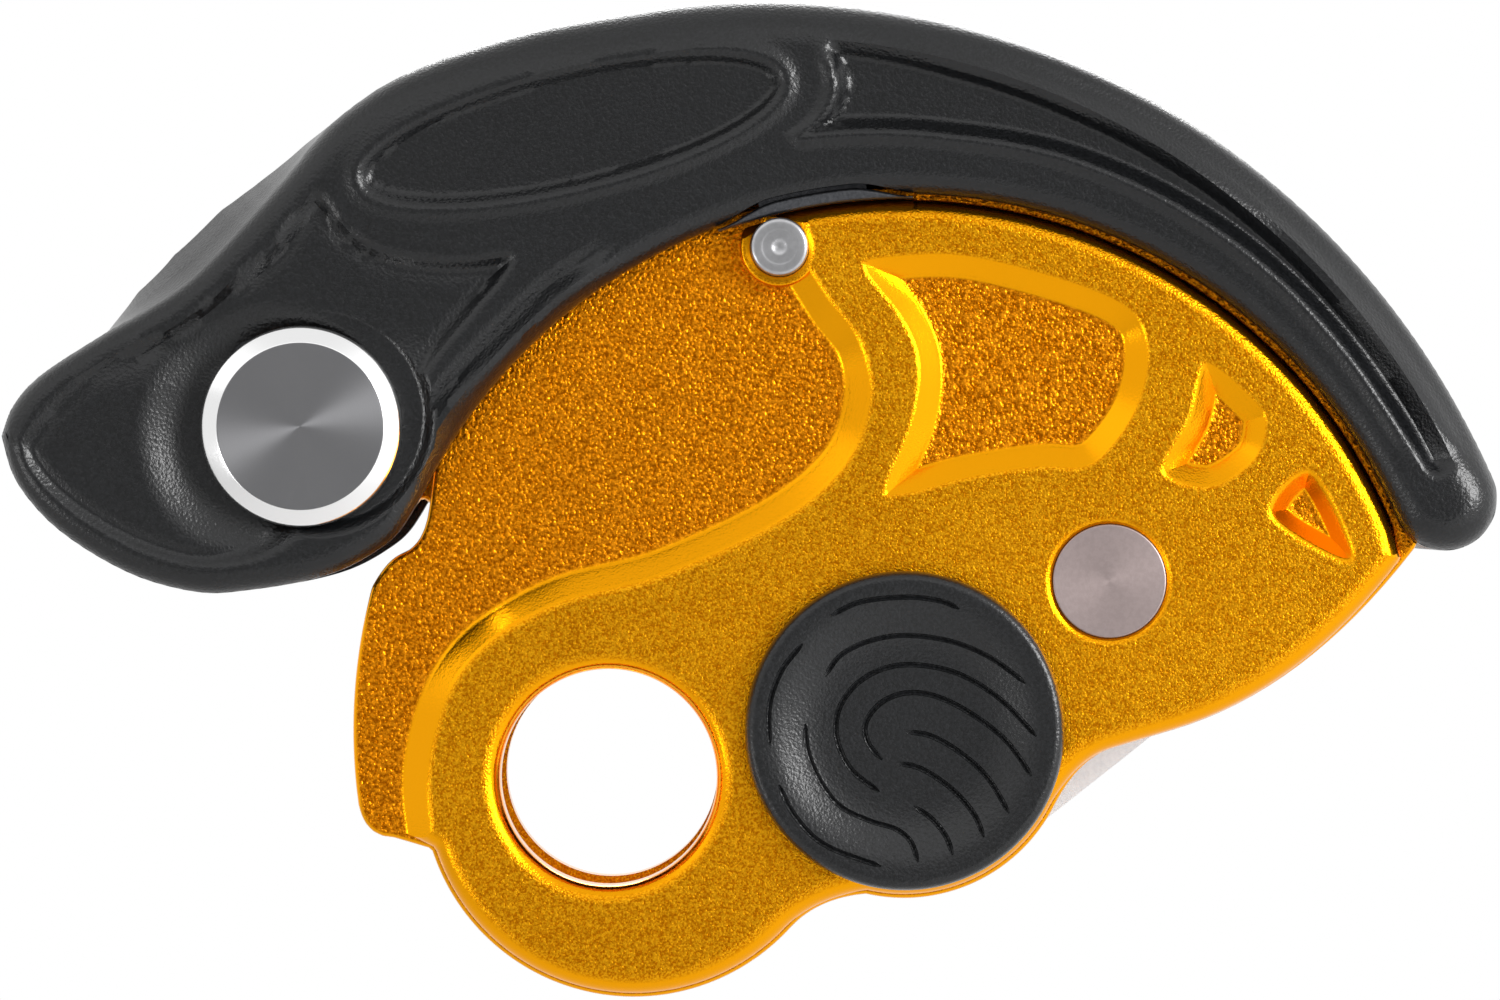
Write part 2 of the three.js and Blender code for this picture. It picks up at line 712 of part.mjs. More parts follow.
/** Bulge of the crown behind the waist of the cheeks. */
function bulgeOutline() {
  const shape = new THREE.Shape();
  const onNose = (share) => placed(pin, noseR, share);
  const line = bulgeShares.map(onNose);
  shape.moveTo(line[0].x, line[0].y);
  shape.splineThru(line.slice(1));
  for (const share of bulgeInnerShares) {
    const corner = onNose(share);
    shape.lineTo(corner.x, corner.y);
  }
  return shape;
}

/** Hollow between the cheeks, open towards the plates and below the nose. */
function hollowOutline() {
  const shape = new THREE.Shape();
  const from = tipTurn + crownWall;
  const start = at(pivot, crownInR - overrun, from);
  shape.moveTo(start.x, start.y);
  const out = at(pivot, bowReach(from, crownWall), from);
  const bowFrom = Math.atan2(out.y - bow.y, out.x - bow.x);
  shape.absarc(bow.x, bow.y, bowR - crownWall, bowFrom, rad(crownTurn), false);
  const onNose = (share) => placed(pin, noseR, share);
  shape.splineThru(hollowShares.map(onNose));
  for (const share of mouthShares) {
    const corner = onNose(share);
    shape.lineTo(corner.x, corner.y);
  }
  return shape;
}

const ribTurns = [38, 50, 62, 74, 86];
let hollow = slab(hollowOutline(), -cheekInY, cheekInY, 0, 0, 1, 8);
for (const turn of ribTurns) {
  const reach = bowReach(turn, 0);
  const half = THREE.MathUtils.radToDeg(ribThick / 2 / reach);
  hollow = hollow.subtract(slab(band(pivot, crownInR, reach, turn - half, turn + half),
    -cheekInY - overrun, cheekInY + overrun, 0, 0, 1, 1));
}
hollow = hollow.add(bar(pivot, crownInR, -cheekInY, cheekInY, 72));

const leafR = pinR + seatGap + bushWall + bushWall + seatGap;
const leafFromTurn = 80;
const leafToTurn = 148;
const eyeHighTurn = 110;
const eyeLowTurn = -20;
const stripLowTurn = 140;
const stripHighTurn = 128;

/** Outline of a steel leaf: an eye round the pin and a strip along the inner edge. */
function leafSolid(grow, front, back) {
  const innerR = cheekR + lipWide - grow;
  const outerR = innerR + leafWide + grow + grow;
  const spare = THREE.MathUtils.radToDeg(grow / innerR);
  const stripBand = band(pivot, innerR, outerR, leafFromTurn - spare, leafToTurn + spare);
  const strip = slab(stripBand, front, back, 0, 0, 1, 12);
  const eyeDisc = bar(pin, leafR + leafEyeWall + grow, front, back, 36);
  const reach = new THREE.Shape();
  const half = leafR + leafEyeWall + grow;
  const corners = [
    at(pin, half, eyeHighTurn), at(pin, half, eyeLowTurn), at(pivot, innerR, stripLowTurn),
    at(pivot, outerR, stripHighTurn),
  ];
  reach.moveTo(corners[0].x, corners[0].y);
  for (const corner of corners.slice(1)) reach.lineTo(corner.x, corner.y);
  return strip.add(eyeDisc).add(slab(reach, front, back, 0, 0, 1, 1));
}

const leafFrontY = -cheekInY - leafThick;
const leafPocket = leafSolid(seatGap, leafFrontY - seatGap, -cheekInY + overrun);
const lipSpare = THREE.MathUtils.radToDeg(seatGap / lipR);
const lipTopR = cheekR + lipWide;
const lipPocket = slab(band(pivot, lipR - overrun, lipTopR, lipFromTurn - lipSpare, lipToTurn + lipSpare),
  -cheekOutY - overrun, -cheekInY + overrun, 0, 0, 1, 8);

const armTipShare = 1.089;
const armTipHalfShare = 0.027;
const armTipTurn = 27;
const armOuterShares = [
  [0.914, 0.64], [0.793, 0.793], [0.651, 0.93], [0.488, 1.046], [0.305, 1.139], [0.106, 1.208],
  [-0.066, 1.254], [-0.164, 1.29],
];
const crescentShares = [[-0.13, 1.232], [-0.128, 1.179], [-0.15, 1.13], [-0.193, 1.089]];
const armInnerShares = [
  [-0.05, 1.1], [0.095, 1.09], [0.283, 1.057], [0.459, 0.985], [0.619, 0.885], [0.757, 0.757],
  [0.871, 0.61],
];

/** Long sunk panel along the arm of a cheek. */
function armPanel() {
  const shape = new THREE.Shape();
  const onArm = (share) => placed(pivot, plateArcR, share);
  const tipMid = at(pivot, plateArcR * armTipShare, armTipTurn);
  const tipHalf = plateArcR * armTipHalfShare;
  const start = at(pivot, plateArcR * armTipShare - tipHalf, armTipTurn);
  shape.moveTo(start.x, start.y);
  shape.absarc(tipMid.x, tipMid.y, tipHalf, rad(armTipTurn - TURN / 2), rad(armTipTurn), false);
  shape.splineThru(armOuterShares.map(onArm));
  shape.splineThru(crescentShares.map(onArm));
  shape.splineThru([...armInnerShares.map(onArm), start]);
  return slab(shape, -cheekOutY - armPanelDeep, -cheekOutY + armPanelDeep, armPanelWall, armPanelDeep, 1, 10);
}

const dishShare = [-0.104, -0.025];
const panelMid = placed(pin, noseR, [0.895, 0.988]);
const panelTurn = 13.5;

/** Groove round the oval panel of the front cheek. */
function panelGroove() {
  const outer = new THREE.Shape();
  outer.absellipse(panelMid.x, panelMid.y, panelLong, panelHigh, 0, rad(TURN), false, rad(panelTurn));
  const inner = new THREE.Shape();
  inner.absellipse(panelMid.x, panelMid.y, panelLong - panelBorder, panelHigh - panelBorder, 0, rad(TURN),
    false, rad(panelTurn));
  return slab(outer, -cheekOutY - overrun, -cheekOutY + grooveDeep, 0, 0, 1, 24)
    .subtract(slab(inner, -cheekOutY - overrun - overrun, -cheekOutY + overrun, 0, 0, 1, 24));
}

/** Finger rest: a shallow round dish that falls from the nose towards the pin. */
function fingerDish() {
  const centre = placed(pin, noseR, dishShare);
  return turnedAt(centre, [
    [0, -cheekOutY - overrun], [dishR, -cheekOutY - overrun], [dishR, -cheekOutY],
    [dishR * 0.88, -cheekOutY + dishDeep * 0.3], [dishR * 0.68, -cheekOutY + dishDeep * 0.85],
    [dishR * 0.5, -cheekOutY + dishDeep], [0, -cheekOutY + dishDeep],
  ], 32);
}

const webShares = [
  [0.07, 0.74], [0.155, 0.638], [0.287, 0.594], [0.576, 0.59], [0.853, 0.638], [0.655, 0.423],
  [0.5, 0.22], [0.36, 0.33], [0.2, 0.44], [0, 0.48],
];

/** Shallow web panel between the boss and the oval. */
function webPanel() {
  const line = webShares.map((share) => placed(pin, noseR, share));
  return slab(new THREE.Shape(line), -cheekOutY - grooveDeep, -cheekOutY + grooveDeep, grooveWall,
    grooveDeep, 1, 1);
}

const restCuts = webPanel().add(fingerDish()).add(bar(pin, bossWellR, -cheekOutY - overrun, -bossY, 32));
const armCuts = armPanel();
const eyeHole = bar(pin, leafR, -cheekOutY - overrun, cheekOutY + overrun, 36);
const rounded = slab(cheekOutline(), -cheekOutY, cheekOutY, edgeRound, edgeRound, 2, 8);
const crown = slab(bowOutline(), -cheekOutY, cheekOutY, crownRound, crownRound, 3, 12);
const bulge = slab(bulgeOutline(), -cheekInY + seatGap, cheekInY - seatGap, bulgeTrim, bulgeTrim, 3, 6);
const shell = rounded
  .intersect(crown)
  .add(bulge)
  .subtract(innerEdgeCutter())
  .subtract(hollow)
  .subtract(leafPocket)
  .subtract(mirrored(leafPocket))
  .subtract(lipPocket)
  .subtract(panelGroove())
  .subtract(armCuts)
  .subtract(mirrored(armCuts))
  .subtract(restCuts)
  .subtract(mirrored(restCuts))
  .subtract(eyeHole);
piece(handleBody, 'handle_shell', shell, moulded);

const leafHole = bar(pin, leafR, -cheekOutY, cheekOutY, 36);
const leaf = leafSolid(0, leafFrontY, -cheekInY).subtract(leafHole);
const lipFoot = band(pivot, lipR, lipTopR + seatGap + seatGap, lipFromTurn, lipToTurn);
const lipRim = band(pivot, lipR, lipTopR - seatGap, lipFromTurn, lipToTurn);
const lip = slab(lipFoot, leafFrontY, -cheekInY, 0, 0, 1, 10)
  .add(slab(lipRim, -cheekInY - lipRise, -cheekInY, 0, 0, 1, 10));
piece(handleBody, 'handle_leaf_front', leaf.add(lip), darkSteel);
piece(handleBody, 'handle_leaf_rear', mirrored(leaf), darkSteel);

const eyeBush = ring(pin, pinR + seatGap, leafR - seatGap, -bossY, -cheekInY, 36);
piece(handleBody, 'eye_bush_front', eyeBush, bronze);
piece(handleBody, 'eye_bush_rear', mirrored(eyeBush), bronze);

// Handle pin, its rear head, hub bush and return spring

const buttonBack = -bossY - seatGap;
const buttonFront = buttonBack - buttonThick;
const headFace = bossY + seatGap;
const handlePin = turnedAt(pin, [
  [0, buttonFront], [buttonR - buttonBevel, buttonFront], [buttonR, buttonFront + buttonBevel * 0.6],
  [buttonR, buttonBack], [pinR, buttonBack], [pinR, bossY], [tailR, bossY],
  [tailR, headFace + rearHeadThick + tailRise], [0, headFace + rearHeadThick + tailRise],
], 32);
piece(rearBody, 'handle_pin', handlePin, turnedSteel);
const rearHead = turnedAt(pin, [
  [tailR + seatGap, headFace], [buttonR, headFace], [buttonR, headFace + rearHeadThick / 2],
  [buttonR - buttonBevel, headFace + rearHeadThick], [tailR + seatGap, headFace + rearHeadThick],
  [tailR + seatGap, headFace],
], 32);
piece(rearBody, 'pin_head_rear', rearHead, turnedSteel);

const hubBush = ring(pin, pinR + seatGap, hubR, -cheekInY + seatGap, channelHalf - seatGap, 36);
piece(rearBody, 'hub_bush', hubBush, turnedSteel);

const springPitch = springWire + seatGap + seatGap;

/** Helix of the return spring about the handle pin. */
class SpringPath extends THREE.Curve {
  getPoint(t, target = new THREE.Vector3()) {
    const turn = rad(TURN) * springTurns * t;
    const front = channelHalf - seatGap - springWire - springPitch * springTurns;
    return target.set(
      pin.x + coilR * Math.cos(turn),
      front + springPitch * springTurns * t,
      pin.y + coilR * Math.sin(turn),
    );
  }
}

/** Least gap between a coil and the next one, measured on points of the path. */
function leastGap(path) {
  const points = path.getPoints(springTurns * springSteps * springSteps);
  const apart = points.length / springTurns / 2;
  let least = Infinity;
  points.forEach((a, i) => points.slice(Math.round(i + apart)).forEach((b) => {
    least = Math.min(least, a.distanceTo(b) - springWire);
  }));
  return least;
}

const springPath = new SpringPath();
console.log(`handle_spring: least gap to itself ${leastGap(springPath).toFixed(2)} mm`);
const wire = new THREE.Shape();
wire.absarc(0, 0, springWire / 2, 0, rad(TURN), false);
const springGeometry = new THREE.ExtrudeGeometry(wire, {
  extrudePath: springPath,
  steps: springTurns * springSteps,
  curveSegments: 2.5,
  bevelEnabled: false,
});
piece(rearBody, 'handle_spring', solidOf(springGeometry), springSteel);
const anchorSolid = bar(anchor, anchorR, channelHalf - seatGap - springWire - springWire, recessY, 16);
piece(rearBody, 'spring_anchor', anchorSolid, turnedSteel);

export default root;
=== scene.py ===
import logging
import math
from collections.abc import Iterator
from dataclasses import dataclass, field
from enum import Enum

import bmesh
import bpy
import numpy as np
from mathutils import Matrix, Vector
from mathutils.kdtree import KDTree


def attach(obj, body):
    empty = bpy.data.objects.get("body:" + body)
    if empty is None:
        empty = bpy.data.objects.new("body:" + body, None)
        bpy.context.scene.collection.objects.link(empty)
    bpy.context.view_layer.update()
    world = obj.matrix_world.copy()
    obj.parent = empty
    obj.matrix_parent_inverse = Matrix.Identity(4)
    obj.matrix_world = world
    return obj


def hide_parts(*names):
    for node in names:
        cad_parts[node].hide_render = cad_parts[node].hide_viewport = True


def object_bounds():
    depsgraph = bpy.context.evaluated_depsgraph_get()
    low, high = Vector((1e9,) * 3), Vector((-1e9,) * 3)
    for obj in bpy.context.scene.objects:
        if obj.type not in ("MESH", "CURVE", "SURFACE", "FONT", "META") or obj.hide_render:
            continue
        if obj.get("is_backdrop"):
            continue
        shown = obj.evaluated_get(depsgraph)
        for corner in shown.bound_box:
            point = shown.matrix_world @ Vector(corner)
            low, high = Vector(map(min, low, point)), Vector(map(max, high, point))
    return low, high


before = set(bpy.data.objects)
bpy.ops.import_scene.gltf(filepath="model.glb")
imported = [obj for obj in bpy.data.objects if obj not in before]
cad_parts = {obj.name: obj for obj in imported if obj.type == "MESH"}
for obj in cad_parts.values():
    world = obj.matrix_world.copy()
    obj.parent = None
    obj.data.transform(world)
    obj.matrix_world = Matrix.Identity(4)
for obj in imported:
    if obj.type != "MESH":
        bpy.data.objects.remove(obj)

# Lengths are in millimetres while a piece is being shaped, and in metres once it is finished.
# Seen from the front, x runs to the right, z up and y into the device.

LOG = logging.getLogger("belay_device")
MM = 0.001
FULL_TURN = 360.0
OVERRUN = 2.0

Point = tuple[float, float]
Rim = list[tuple[float, float]]


class Body(Enum):
    """Bodies that the pieces ride on."""

    REAR = "rear"
    SWING = "swing"
    HANDLE = "handle"


class Cut(Enum):
    """Ways to combine two solids."""

    JOIN = "UNION"
    CARVE = "DIFFERENCE"
    KEEP = "INTERSECT"


# Outlines in the front view


def polar(centre: Point, radius: float, turn: float) -> Point:
    """Point at a distance and a direction in degrees from a centre."""
    angle = math.radians(turn)
    return centre[0] + radius * math.cos(angle), centre[1] + radius * math.sin(angle)


def arc(centre: Point, radius: float, start: float, stop: float, step: float = 0.35) -> list[Point]:
    """Points along a circular arc.

    Args:
        centre: Centre of the arc.
        radius: Its radius.
        start: First direction in degrees.
        stop: Last direction in degrees.
        step: Largest distance between points.

    Returns:
        The points, both ends included.
    """
    count = max(2, math.ceil(abs(math.radians(stop - start)) * radius / step))
    return [polar(centre, radius, start + (stop - start) * i / count) for i in range(count + 1)]


def bend(start: Point, pull: Point, stop: Point, count: int = 10) -> list[Point]:
    """Points along a quadratic curve, without its first point."""
    points = []
    for i in range(1, count + 1):
        t = i / count
        a, b, c = (1 - t) ** 2, 2 * t * (1 - t), t * t
        points.append((a * start[0] + b * pull[0] + c * stop[0], a * start[1] + b * pull[1] + c * stop[1]))
    return points


def through(places: list[Point], count: int = 12, closed: bool = False) -> list[Point]:
    """Points along a smooth curve through places.

    Args:
        places: The places that the curve passes.
        count: Points for each stretch between two places.
        closed: Whether the curve returns to its start.

    Returns:
        The points; the last place is included on an open curve.
    """
    known = np.array(places, float)
    last = len(known) if closed else len(known) - 1
    points: list[Point] = []
    for i in range(last):
        if closed:
            p0, p1, p2, p3 = (known[(i + k) % len(known)] for k in (-1, 0, 1, 2))
        else:
            p0, p1, p2, p3 = (known[min(max(i + k, 0), last)] for k in (-1, 0, 1, 2))
        for j in range(count):
            t = j / count
            spot = 0.5 * (2 * p1 + (p2 - p0) * t + (2 * p0 - 5 * p1 + 4 * p2 - p3) * t**2
                          + (3 * p1 - p0 - 3 * p2 + p3) * t**3)
            points.append((float(spot[0]), float(spot[1])))
    if not closed:
        points.append((float(known[-1][0]), float(known[-1][1])))
    return points


def spaced(points: list[Point], step: float, closed: bool = True) -> list[Point]:
    """The same line with its points an even distance apart."""
    line = np.array(points + points[:1] if closed else points, float)
    run = np.concatenate([[0.0], np.cumsum(np.hypot(*np.diff(line, axis=0).T))])
    count = max(3, round(run[-1] / step))
    at = np.linspace(0.0, run[-1], count, endpoint=not closed)
    return list(zip(np.interp(at, run, line[:, 0]).tolist(), np.interp(at, run, line[:, 1]).tolist()))


def area(points: list[Point]) -> float:
    """Signed area of an outline, positive when it runs counter-clockwise."""
    return 0.5 * sum(a[0] * b[1] - b[0] * a[1] for a, b in zip(points, points[1:] + points[:1]))


def round_rim(radius: float, steps: int = 5, rise: float | None = None) -> Rim:
    """Steps of a rounded outer edge, as insets and rises."""
    high = radius if rise is None else rise
    turns = [math.pi / 2 * i / steps for i in range(steps + 1)]
    return [
        (radius * (math.cos(a) - math.cos(b)), high * (math.sin(b) - math.sin(a)))
        for a, b in zip(turns, turns[1:])
    ]


def sloping_wall(run: float, depth: float, ease: float = 1.0) -> Rim:
    """Plain slope with a rounded rim and foot, as insets and rises."""
    rim = [(0.12, 0.01), (0.15, 0.04), (0.15, 0.08), (0.13, 0.11)]
    ends = [(inset * ease, rise * ease) for inset, rise in rim]
    steep = ((run - 2 * sum(inset for inset, _ in ends)) / 6, (depth - 2 * sum(rise for _, rise in ends)) / 6)
    return ends + [steep] * 6 + ends[::-1]


# Solids


def moved_in(outline: list[Point], distance: float) -> np.ndarray:
    """Outline moved inwards, point for point.

    Args:
        outline: Points of a counter-clockwise outline.
        distance: How far the outline moves inwards.

    Returns:
        As many points as before; those that would cross over meet in one corner.
    """
    line = np.array(outline, float)
    if distance < 1e-6:
        return line
    span = np.roll(line, -1, 0) - line
    ahead = span / np.linalg.norm(span, axis=1, keepdims=True)
    left = np.stack([-ahead[:, 1], ahead[:, 0]], 1)
    mid = left + np.roll(left, 1, 0)
    mid /= np.linalg.norm(mid, axis=1, keepdims=True)
    stretch = np.clip(np.sum(mid * left, 1), 0.3, 1)
    moved = line + mid * (distance / stretch)[:, None]
    off = moved[:, None] - line[None]
    along = np.clip(np.sum(off * span[None], 2) / np.sum(span**2, 1), 0, 1)
    near = np.linalg.norm(off - along[..., None] * span[None], axis=2).min(1)
    strayed = near < distance * 0.985 - 0.002
    count = len(line)
    if strayed.all() or not strayed.any():
        return moved
    start = int(np.argmin(strayed))
    index = 0
    while index < count:
        here = (start + index) % count
        if not strayed[here]:
            index += 1
            continue
        run = 0
        while strayed[(here + run) % count]:
            run += 1
        before, after = (here - 1) % count, (here + run) % count
        a, b = moved[before], moved[after]
        u, w = ahead[before], -ahead[(after - 1) % count]
        cross = u[0] * w[1] - u[1] * w[0]
        corner = (a + b) / 2
        if abs(cross) > 0.02:
            reach = ((b - a)[0] * w[1] - (b - a)[1] * w[0]) / cross
            if 0 <= reach < 4 * np.linalg.norm(b - a) + 0.5:
                corner = a + u * reach
        for step in range(run):
            moved[(here + step) % count] = corner
        index += run
    return moved


def extruded(bm: bmesh.types.BMesh, edges: list[bmesh.types.BMEdge], place: bmesh.types.BMLayerItem,
             spots: np.ndarray, depth: float | None = None) -> list[bmesh.types.BMEdge]:
    """Extrudes a ring of edges and sets its new points.

    Args:
        bm: The mesh that grows.
        edges: Edges of the last ring.
        place: Layer that holds each point's number in its ring.
        spots: New places by number, in the front view or in space.
        depth: Depth of all new points, where the places have none.

    Returns:
        Edges of the new ring.
    """
    grown = bmesh.ops.extrude_edge_only(bm, edges=edges)["geom"]
    for vert in (item for item in grown if isinstance(item, bmesh.types.BMVert)):
        spot = spots[vert[place]]
        vert.co = (spot[0], depth, spot[1]) if depth is not None else spot
    return [item for item in grown if isinstance(item, bmesh.types.BMEdge)]


def first_ring(bm: bmesh.types.BMesh, spots: list[tuple[float, float, float]],
               ) -> tuple[list[bmesh.types.BMEdge], bmesh.types.BMLayerItem]:
    """Starts a closed ring of edges, and the layer that numbers its points."""
    place = bm.verts.layers.int.new("place")
    made = [bm.verts.new(spot) for spot in spots]
    for index, vert in enumerate(made):
        vert[place] = index
    return [bm.edges.new(pair) for pair in zip(made, made[1:] + made[:1])], place


class Solid:
    """Closed mesh in millimetres that is shaped by bmesh operators."""

    def __init__(self, bm: bmesh.types.BMesh) -> None:
        """Takes over a bmesh."""
        self.bm = bm

    @classmethod
    def closed(cls, bm: bmesh.types.BMesh, merge: float = 1e-4, fill: bool = True) -> "Solid":
        """Merges doubled points, fills open ends and turns all faces outwards."""
        if merge:
            bmesh.ops.remove_doubles(bm, verts=bm.verts[:], dist=merge)
        if fill:
            bmesh.ops.holes_fill(bm, edges=bm.edges[:])
        bmesh.ops.recalc_face_normals(bm, faces=bm.faces[:])
        return cls(bm)

    @classmethod
    def slab(cls, outline: list[Point], front: float, back: float,
             front_rim: Rim | None = None, back_rim: Rim | None = None) -> "Solid":
        """Outline given a thickness, with shaped rims.

        Args:
            outline: Points in the front view.
            front: Depth of the front face, rim included.
            back: Depth of the back face, rim included.
            front_rim: Insets and rises that lead to the front face.
            back_rim: Insets and rises that lead to the back face.

        Returns:
            The closed solid.
        """
        front_rim, back_rim = front_rim or [], back_rim or []
        low = front + sum(rise for _, rise in front_rim)
        high = back - sum(rise for _, rise in back_rim)
        points = outline if area(outline) > 0 else outline[::-1]
        bm = bmesh.new()
        ring, place = first_ring(bm, [(x, low, z) for x, z in points])
        for rim, start, way in ((front_rim, low, -1), (back_rim, high, 1)):
            edges, inset, depth = ring, 0.0, start
            stages = [(0.0, 0.0)] * (way > 0) + rim
            for thickness, rise in stages:
                inset, depth = inset + thickness, depth + way * rise
                edges = extruded(bm, edges, place, moved_in(points, inset), depth)
        return cls.closed(bm)

    @classmethod
    def turned(cls, centre: Point, profile: list[Point], steps: int = 96) -> "Solid":
        """Profile of radii and depths spun about an axis through the thickness.

        Args:
            centre: Where the axis stands in the front view.
            profile: Radius and depth of each corner, from the axis and back to it, or closed on itself.
            steps: Facets round the axis.

        Returns:
            The closed solid.
        """
        bm = bmesh.new()
        line = [bm.verts.new((centre[0] + r, y, centre[1])) for r, y in profile]
        edges = [bm.edges.new(pair) for pair in zip(line, line[1:])]
        if profile[0][0] > 0:
            edges.append(bm.edges.new((line[-1], line[0])))
        bmesh.ops.spin(bm, geom=line + edges, cent=(centre[0], 0, centre[1]), axis=(0, 1, 0),
                       angle=math.tau, steps=steps, use_merge=True, use_duplicate=False)
        return cls.closed(bm, fill=False)

    @classmethod
    def bar(cls, centre: Point, radius: float, front: float, back: float, steps: int = 96) -> "Solid":
        """Plain round bar between two depths."""
        return cls.turned(centre, [(0, front), (radius, front), (radius, back), (0, back)], steps)

    def flipped(self) -> "Solid":
        """The same solid on the other side of the middle plane."""
        copy = self.bm.copy()
        bmesh.ops.scale(copy, vec=(1, -1, 1), verts=copy.verts[:])
        bmesh.ops.reverse_faces(copy, faces=copy.faces[:])
        return Solid(copy)

    def combine(self, how: Cut, *others: "Solid") -> "Solid":
        """Joins, carves or keeps what is shared with other solids."""
        made = [Solid._temporary(self.bm)] + [Solid._temporary(o.bm) for o in others]
        for other in made[1:]:
            step = made[0].modifiers.new(how.value, "BOOLEAN")
            step.operation, step.solver, step.object = how.value, "EXACT", other
        shown = made[0].evaluated_get(bpy.context.evaluated_depsgraph_get())
        result = bmesh.new()
        result.from_mesh(shown.to_mesh())
        shown.to_mesh_clear()
        for temporary in made:
            data = temporary.data
            bpy.data.objects.remove(temporary)
            bpy.data.meshes.remove(data)
        return Solid(result)

    @staticmethod
    def _temporary(bm: bmesh.types.BMesh) -> bpy.types.Object:
        """Object that holds a solid while it is combined."""
        mesh = bpy.data.meshes.new("temporary")
        bm.to_mesh(mesh)
        return placed("temporary", mesh)


def placed(name: str, data: bpy.types.ID) -> bpy.types.Object:
    """New object at the origin, in the scene's collection."""
    made = bpy.data.objects.new(name, data)
    bpy.context.scene.collection.objects.link(made)
    return made


# Sizes that several pieces share


@dataclass(frozen=True)
class Layout:
    """Axes and layers of the device."""

    pivot: Point = (22.4, 3.6)
    pin: Point = (-23.138, 26.563)
    eye: Point = (0.0, 0.0)
    lobe: Point = (1.9, -0.6)
    bow: Point = (12.0, -1.0)
    rope_pin: Point = (37.933, 14.885)
    stud: Point = (12.948, 40.147)
    plate_r: float = 41.4
    land_r: float = 39.9
    cheek_r: float = 40.6
    bow_r: float = 59.9
    channel: float = 6.5
    recess_y: float = 9.5
    land_y: float = 11.3
    cheek_in: float = 9.8
    cheek_out: float = 13.0
    boss_y: float = 12.2
    gap: float = 0.3
    nose_r: float = 22.8


LAYOUT = Layout()


# Finishes


class Nodes:
    """Small helper that lays out the nodes of one tree."""

    def __init__(self, tree: bpy.types.NodeTree) -> None:
        """Starts an empty tree."""
        self.tree = tree
        tree.nodes.clear()

    def add(self, kind: str, **settings: object) -> bpy.types.Node:
        """Adds a node; settings are attributes, or inputs given by name."""
        node = self.tree.nodes.new(kind)
        for key, value in settings.items():
            if key in node.inputs:
                node.inputs[key].default_value = value
            else:
                setattr(node, key, value)
        return node

    def link(self, source: bpy.types.NodeSocket, target: bpy.types.NodeSocket) -> None:
        """Joins two sockets."""
        self.tree.links.new(source, target)

    def math(self, operation: str, *values: object, clamp: bool = False) -> bpy.types.NodeSocket:
        """Adds a math node on sockets or numbers."""
        node = self.add("ShaderNodeMath", operation=operation, use_clamp=clamp)
        for socket, value in zip(node.inputs, values):
            if isinstance(value, bpy.types.NodeSocket):
                self.link(value, socket)
            else:
                socket.default_value = float(value)
        return node.outputs[0]

    def span(self, source: bpy.types.NodeSocket, start: float, stop: float, low: float = 0.0, high: float = 1.0,
             kind: str = "LINEAR") -> bpy.types.NodeSocket:
        """Adds a step of a value between two levels."""
        node = self.add("ShaderNodeMapRange", interpolation_type=kind)
        for name, value in zip(("From Min", "From Max", "To Min", "To Max"), (start, stop, low, high)):
            node.inputs[name].default_value = value
        self.link(source, node.inputs["Value"])
        return node.outputs[0]

    def mix(self, kind: str, share: bpy.types.NodeSocket, *values: object) -> bpy.types.NodeSocket:
        """Adds a mix of two colours (RGBA) or two numbers (FLOAT), each a socket or a constant."""
        node = self.add("ShaderNodeMix", data_type=kind)
        first, made = (6, 2) if kind == "RGBA" else (2, 0)
        self.link(share, node.inputs[0])
        for socket, value in zip(node.inputs[first:first + 2], values):
            if isinstance(value, bpy.types.NodeSocket):
                self.link(value, socket)
            else:
                socket.default_value = (*value, 1) if kind == "RGBA" else value
        return node.outputs[made]


def new_group(name: str, inputs: dict[str, float], outputs: tuple[str, ...],
              vectors: tuple[str, ...] = ()) -> tuple[bpy.types.NodeTree, Nodes]:
    """Starts a shader node group with named inputs and outputs."""
    tree = bpy.data.node_groups.new(name, "ShaderNodeTree")
    nodes = Nodes(tree)
    for key, value in inputs.items():
        socket = tree.interface.new_socket(key, in_out="INPUT", socket_type="NodeSocketFloat")
        socket.default_value = value
    for key in vectors:
        tree.interface.new_socket(key, in_out="INPUT", socket_type="NodeSocketVector")
    for key in outputs:
        tree.interface.new_socket(key, in_out="OUTPUT", socket_type="NodeSocketFloat")
    return tree, nodes


def grain_group() -> bpy.types.NodeTree:
    """Fine blasted or moulded grain: its height, bright specks, and a slow cloud that varies the finish."""
    tree, nodes = new_group("fine grain", {"Grain per metre": 4000.0, "Cloud per metre": 60.0},
                            ("Height", "Speck", "Cloud"))
    given = nodes.add("NodeGroupInput")
    made = nodes.add("NodeGroupOutput")
    place = nodes.add("ShaderNodeTexCoord")
    fine = nodes.add("ShaderNodeTexNoise", Detail=2.0, Roughness=0.6)
    cells = nodes.add("ShaderNodeTexVoronoi")
    cloud = nodes.add("ShaderNodeTexNoise", Detail=3.0)
    for texture, key in ((fine, 0), (cells, 0), (cloud, 1)):
        nodes.link(place.outputs["Object"], texture.inputs["Vector"])
        nodes.link(given.outputs[key], texture.inputs["Scale"])
    height = nodes.math("ADD", nodes.math("MULTIPLY", fine.outputs["Fac"], 0.7),
                        nodes.math("MULTIPLY", cells.outputs["Distance"], 0.4))
    nodes.link(height, made.inputs["Height"])
    nodes.link(nodes.span(fine.outputs["Fac"], 0.38, 0.62), made.inputs["Speck"])
    nodes.link(cloud.outputs["Fac"], made.inputs["Cloud"])
    return tree


